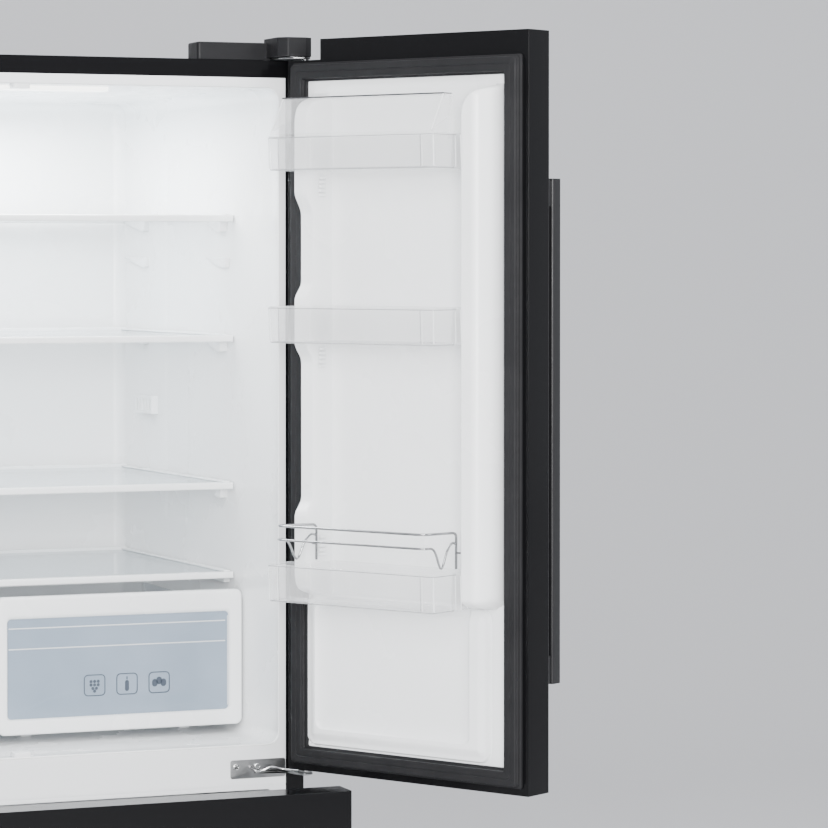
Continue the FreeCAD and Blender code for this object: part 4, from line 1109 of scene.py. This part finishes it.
class FridgeSizes(bpy.types.PropertyGroup):
    """Walls, wires, seals and eased edges."""
    bin_wall: length_setting("Bin wall", "Wall of the clear door bins", 2.5 * MM)
    rack_wire: length_setting("Rack wire", "Radius of the bottle rack's top wire", 1.8 * MM)
    door_seal: length_setting("Door seal", "Width of the seals on the upper doors", 26.0 * MM)
    drawer_seal: length_setting("Drawer seal", "Width of the seals on the freezer drawers", 18.0 * MM)
    case_edge: length_setting("Case edges", "Easing on the doors' and drawers' edges", 0.9 * MM)
    handle_edge: length_setting("Handle edges", "Easing on the handles' edges", 0.7 * MM)
    small_edge: length_setting("Small edges", "Easing on the edges of small parts", 0.5 * MM)


class FridgeColours(bpy.types.PropertyGroup):
    """Colours of the main finishes."""
    case: colour_setting("Case", "Painted outer skin", (0.004, 0.004, 0.0045))
    liner: colour_setting("Liner", "Formed white sheet", (0.86, 0.87, 0.875))
    frame: colour_setting("Frame", "Front frame round the openings", (0.84, 0.85, 0.86))
    seal: colour_setting("Seal", "Soft magnetic seal", (0.012, 0.012, 0.013))
    clear: colour_setting("Clear plastic", "Bins and flaps", (0.88, 0.89, 0.90))
    pane: colour_setting("Pane", "Crisper panes", (0.30, 0.38, 0.47))
    glass: colour_setting("Glass", "Shelves", (0.80, 0.88, 0.93))


class FridgeStage(bpy.types.PropertyGroup):
    """Camera and light."""
    lens: bpy.props.FloatProperty(name="Lens", description="Focal length", default=149.9, min=10.0,
                                  unit="CAMERA")
    shift: bpy.props.FloatProperty(name="Shift", description="Upright lens shift, in frame widths",
                                   default=-0.1208)
    yaw: bpy.props.FloatProperty(name="Yaw", description="Turn to the right of the cabinet's depth axis",
                                 default=math.radians(21.884), subtype="ANGLE")
    pitch: bpy.props.FloatProperty(name="Pitch", description="Downward tilt", default=math.radians(1.03),
                                   subtype="ANGLE")
    eye: bpy.props.FloatVectorProperty(name="Eye", description="Camera position", subtype="TRANSLATION",
                                       default=(-1.2669, -4.7491, 1.4908))
    key: bpy.props.FloatProperty(name="Key light", description="Power of the main soft light", default=260.0,
                                 unit="POWER")
    world: bpy.props.FloatProperty(name="World", description="Strength of the even surrounding light",
                                   default=0.9, min=0.0)
    lamp: bpy.props.FloatProperty(name="Inner lamp", description="Glow of the ceiling lamp cover",
                                  default=3.0,
                                  min=0.0)


# ---------------------------------------------------------------- operators
class FRIDGE_OT_finishes(bpy.types.Operator):
    """Give every carried-over part its finish"""
    bl_idname = "fridge.finishes"
    bl_label = "Finishes"

    def execute(self, context):
        for entry in frame["record"]["subparts"]:
            piece = NODES[entry["node"]]
            material = finish(SPECIAL.get(entry["node"], entry["material_slot"]))
            piece.data.materials.clear()
            piece.data.materials.append(material)
        return {"FINISHED"}


class FRIDGE_OT_stage(bpy.types.Operator):
    """Set the floor, the soft lights and the camera"""
    bl_idname = "fridge.stage"
    bl_label = "Stage"

    def execute(self, context):
        scene = context.scene
        settings = scene.fridge_stage
        camera = bpy.data.objects.new("camera", bpy.data.cameras.new("camera"))
        camera.data.lens = settings.lens
        camera.data.sensor_width = 36.0
        camera.data.shift_y = settings.shift
        camera.data.clip_end = 60.0
        camera.location = settings.eye
        camera.rotation_euler = Euler((math.pi / 2 - settings.pitch, 0.0, -settings.yaw))
        scene.collection.objects.link(camera)
        scene.camera = camera
        self.floor(scene)
        self.lights(scene, settings)
        return {"FINISHED"}

    def floor(self, scene):
        """Pale floor that rises behind: y = b + r sin w, z = r - r cos w, then straight up."""
        w = np.linspace(0, math.pi / 2, 25)
        radius, start = 3.0, 4.0
        y = np.concatenate([[-16.0], start + radius * np.sin(w), [start + radius]])
        z = np.concatenate([[0.0], radius - radius * np.cos(w), [9.0]])
        x = np.array([-18.0, 18.0])
        points = np.stack(np.broadcast_arrays(x[None], y[:, None], z[:, None]), -1).reshape(-1, 3)
        rows = np.arange(len(y) - 1)[:, None] * 2
        mesh = bpy.data.meshes.new("floor")
        mesh.from_pydata(points.tolist(), [], (rows + np.array([[0, 1, 3, 2]])).tolist())
        mesh.polygons.foreach_set("use_smooth", np.ones(len(mesh.polygons), bool))
        look = Finish("floor_pale", (0.78, 0.78, 0.79), 0.7)
        look.rough(look.noise(3.0, 4.0), 0.6, 0.8)
        mesh.materials.append(look.material)
        floor = bpy.data.objects.new("floor", mesh)
        scene.collection.objects.link(floor)

    def lights(self, scene, settings):
        """World fill and five soft lights: name, place, turn, size and power."""
        world = bpy.data.worlds.new("studio")
        world.use_nodes = True
        background = world.node_tree.nodes["Background"]
        background.inputs["Color"].default_value = (0.93, 0.95, 1.0, 1.0)
        background.inputs["Strength"].default_value = settings.world
        scene.world = world
        plan = (
            ("key", (-2.3, -4.4, 2.7), (76, 0, -26), 2.4, settings.key),
            ("fill", (2.9, -3.4, 2.6), (68, 0, 42), 2.2, settings.key * 0.35),
            ("top", (0.0, -0.8, 4.2), (0, 0, 0), 3.0, settings.key * 0.35),
            ("inside", (0.0, FRONT_Y + 0.33, 1.70), (0, 0, 0), 0.4, settings.key * 0.04),
            ("front", (-0.9, -5.3, 1.7), (87, 0, -10), 1.2, settings.key * 0.9),
        )
        for name, place, turn, size, power in plan:
            light = bpy.data.objects.new(name, bpy.data.lights.new(name, "AREA"))
            light.data.shape = "SQUARE"
            light.data.size = size
            light.data.energy = power
            light.location = place
            light.rotation_euler = Euler(tuple(math.radians(a) for a in turn))
            scene.collection.objects.link(light)


def slot_of(node):
    """Material slot the record gives a node."""
    return next(e["material_slot"] for e in frame["record"]["subparts"] if e["node"] == node)


def body_of(node):
    """Body the record puts a node on."""
    return next(name for name, nodes in frame["record"]["behaviour"]["bodies"].items() if node in nodes)


def make(name, grids, stands_for, place=world, look=None, **options):
    """A fine piece on the body of the node it stands for, in that node's finish or another."""
    slot = slot_of(stands_for)
    grids = [place(g) for g in (grids if isinstance(grids, list) else [grids])]
    return solid(name, grids, finish(look or slot), body_of(stands_for), slot, (stands_for,), **options)


def door_place(side):
    """Place function for a side's door parts."""
    return lambda points: hung(world(points), side)


class FRIDGE_OT_door_liners(bpy.types.Operator):
    """Build the formed door liners"""
    bl_idname = "fridge.door_liners"
    bl_label = "Door liners"

    def execute(self, context):
        for side in SIDES:
            make(f"{side}_liner_fine", door_liner_grids(side), f"{side}_door_liner", door_place(side))
            low, _ = span(f"{side}_door_foam")
            core = block(low[0] + 1, 392, low[1] + 1, -17.4, low[2] + 1, 1752, 3.0, "xz", 4.0)
            make(f"{side}_core_fine", core, f"{side}_door_foam", door_place(side))
        return {"FINISHED"}


class FRIDGE_OT_seals(bpy.types.Operator):
    """Build the bellows seals of the doors and drawers"""
    bl_idname = "fridge.seals"
    bl_label = "Seals"

    def execute(self, context):
        for side in SIDES:
            low, high = span(f"{side}_door_gasket")
            grid = seal_grid(low[0], high[0], low[2], high[2], size("door_seal"))
            make(f"{side}_seal_fine", grid, f"{side}_door_gasket", door_place(side), wrap_rows=True)
        for drawer in ("upper", "lower"):
            low, high = span(f"{drawer}_drawer_gasket")
            grid = seal_grid(low[0], high[0], low[2], high[2], size("drawer_seal"))
            grid[..., 1] += low[1] + DYKE_SEAT
            make(f"{drawer}_seal_fine", grid, f"{drawer}_drawer_gasket", wrap_rows=True)
        return {"FINISHED"}


class FRIDGE_OT_bins(bpy.types.Operator):
    """Build the clear door bins, the flap over the top bin and the bottle rack"""
    bl_idname = "fridge.bins"
    bl_label = "Door bins"

    def execute(self, context):
        for side in SIDES:
            place = door_place(side)
            low, high = span(f"{side}_bins")
            both = bin_grids(low[2], low[2] + LOW_RIM) + bin_grids(high[2] - MIDDLE_RIM, high[2])
            make(f"{side}_bins_fine", both, f"{side}_bins", place, smooth=40.0)
            make(f"{side}_top_bin_fine", top_bin_grids(), f"{side}_top_bin", place, smooth=40.0)
            make(f"{side}_flap_fine", flap_grids(), f"{side}_bin_flap", place, smooth=40.0)
            make(f"{side}_rail_fine", rail_grids(), f"{side}_bottle_rail", place, smooth=60.0)
            # painted highlight and painted shade: bright, grey and dark rods laid on the clear bins and the flap as
            # separate pieces
            heights = ((low[2], low[2] + LOW_RIM), (high[2] - MIDDLE_RIM, high[2]),
                       (span(f"{side}_top_bin")[0][2], TOP_RIM))
            pairs = [bin_edge_grids(z0, z1) for z0, z1 in heights]
            edges, painted_shade_rods = [[g for pair in pairs for g in pair[k]] for k in (0, 1)]
            painted_highlight_rods, painted_shade_flap_rods = flap_edge_grids()
            for name, grids, look, body in (("bin_edges", edges, "clear_edge", f"{side}_door"),
                                            ("bin_lines", painted_shade_rods, "shaded_edge", f"{side}_door"),
                                            ("flap_edges", painted_highlight_rods, "clear_edge", f"{side}_flap"),
                                            ("flap_line", painted_shade_flap_rods, "dark_edge", f"{side}_flap")):
                solid(f"{side}_{name}", [place(g) for g in grids], finish(look), body, "clear_plastic",
                      smooth=60.0)
        return {"FINISHED"}


class FRIDGE_OT_interior(bpy.types.Operator):
    """Build the formed fresh-food compartment and its shelf trims"""
    bl_idname = "fridge.interior"
    bl_label = "Fresh-food compartment"

    def execute(self, context):
        make("interior_fine", interior_grids(), "fresh_liner")
        low, high = span("shelf_trims")
        tops = (high[2] - 3.0, *SHELF_TOPS[1:], low[2] + 10.0)
        make("trims_fine", [g for top in tops for g in shelf_grids(top)], "shelf_trims")
        return {"FINISHED"}


class FRIDGE_OT_crispers(bpy.types.Operator):
    """Build the crisper frames, clear panes and picture marks"""
    bl_idname = "fridge.crispers"
    bl_label = "Crispers"

    def execute(self, context):
        for side in SIDES:
            make(f"crisper_{side}_frame_fine", crisper_frame_grids(side), f"crisper_{side}_front",
                 wrap_rows=True)
            pane, ribs, rings = crisper_pane_grids(side)
            make(f"crisper_{side}_pane_fine", pane, f"crisper_{side}_pane", look="pane_blue")
            # the ribs are real mouldings, drawn in the painted highlight finish: near-white and nearly opaque,
            # standing for the light they catch
            for name, grids, look, options in (("ribs", ribs, "clear_edge", {"smooth": 60.0}),
                                               ("squares", rings, "mark_ink", {"wrap_rows": True}),
                                               ("marks", crisper_symbols(side), "mark_ink", {})):
                solid(f"crisper_{side}_{name}", [world(g) for g in grids], finish(look), f"{side}_crisper",
                      "clear_plastic", **options)
        return {"FINISHED"}


class FRIDGE_OT_hinges(bpy.types.Operator):
    """Build the pressed hinges and their springs"""
    bl_idname = "fridge.hinges"
    bl_label = "Hinges"

    def execute(self, context):
        make("hinges_fine", [g for side in SIDES for g in hinge_grids(side)], "hinges")
        springs = [world(g) for side in SIDES for g in spring_grids(side)]
        solid("hinge_springs", springs, finish("screw_bright"), body_of("hinges"), "bright_wire")
        return {"FINISHED"}


class FRIDGE_OT_softened(bpy.types.Operator):
    """Carry over the plain sheet, cast and moulded parts with eased edges"""
    bl_idname = "fridge.softened"
    bl_label = "Eased parts"

    def execute(self, context):
        for node, setting in EASED.items():
            self.ease(node, size(setting) * MM)
        return {"FINISHED"}

    def ease(self, node, width):
        """Merged copy of a node with a narrow rounded bevel on its sharp edges."""
        mesh = NODES[node].data.copy()
        mesh.name = f"{node}_eased"
        work = bmesh.new()
        work.from_mesh(mesh)
        bmesh.ops.remove_doubles(work, verts=work.verts, dist=1e-6)
        bmesh.ops.dissolve_limit(work, angle_limit=math.radians(0.6), verts=work.verts, edges=work.edges)
        bmesh.ops.recalc_face_normals(work, faces=work.faces)
        work.to_mesh(mesh)
        work.free()
        mesh.polygons.foreach_set("use_smooth", np.ones(len(mesh.polygons), bool))
        mesh.set_sharp_from_angle(angle=math.radians(35))
        piece = bpy.data.objects.new(f"{node}_eased", mesh)
        bpy.context.scene.collection.objects.link(piece)
        bevel = piece.modifiers.new("edges", "BEVEL")
        bevel.width = width
        bevel.segments = 2
        bevel.limit_method = "ANGLE"
        bevel.angle_limit = math.radians(50)
        bevel.use_clamp_overlap = True
        bevel.harden_normals = True
        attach(piece, body_of(node))
        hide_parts(node)


OPERATORS = [FRIDGE_OT_finishes, FRIDGE_OT_door_liners, FRIDGE_OT_seals, FRIDGE_OT_bins, FRIDGE_OT_interior,
             FRIDGE_OT_crispers, FRIDGE_OT_hinges, FRIDGE_OT_softened, FRIDGE_OT_stage]


class FRIDGE_PT_panel(bpy.types.Panel):
    """Lists the refrigerator's steps and settings"""
    bl_label = "Refrigerator"
    bl_idname = "FRIDGE_PT_panel"
    bl_space_type = "VIEW_3D"
    bl_region_type = "UI"
    bl_category = "Refrigerator"

    def draw(self, context):
        for operator in OPERATORS:
            self.layout.operator(operator.bl_idname)
        for setting in GROUPS:
            group = getattr(context.scene, setting)
            for name in group.bl_rna.properties.keys():
                if name not in ("rna_type", "name"):
                    self.layout.prop(group, name)


GROUPS = {"fridge_sizes": FridgeSizes, "fridge_colours": FridgeColours, "fridge_stage": FridgeStage}


def register():
    """Register the settings, the operators and the panel."""
    for name, group in GROUPS.items():
        bpy.utils.register_class(group)
        setattr(bpy.types.Scene, name, bpy.props.PointerProperty(type=group))
    for item in OPERATORS + [FRIDGE_PT_panel]:
        bpy.utils.register_class(item)


def unregister():
    """Take everything out again."""
    for item in [FRIDGE_PT_panel] + OPERATORS[::-1]:
        bpy.utils.unregister_class(item)
    for name, group in GROUPS.items():
        delattr(bpy.types.Scene, name)
        bpy.utils.unregister_class(group)


def main():
    """Build everything in order."""
    register()
    for operator in OPERATORS:
        space, name = operator.bl_idname.split(".")
        getattr(getattr(bpy.ops, space), name)()


if __name__ == "__main__":
    main()
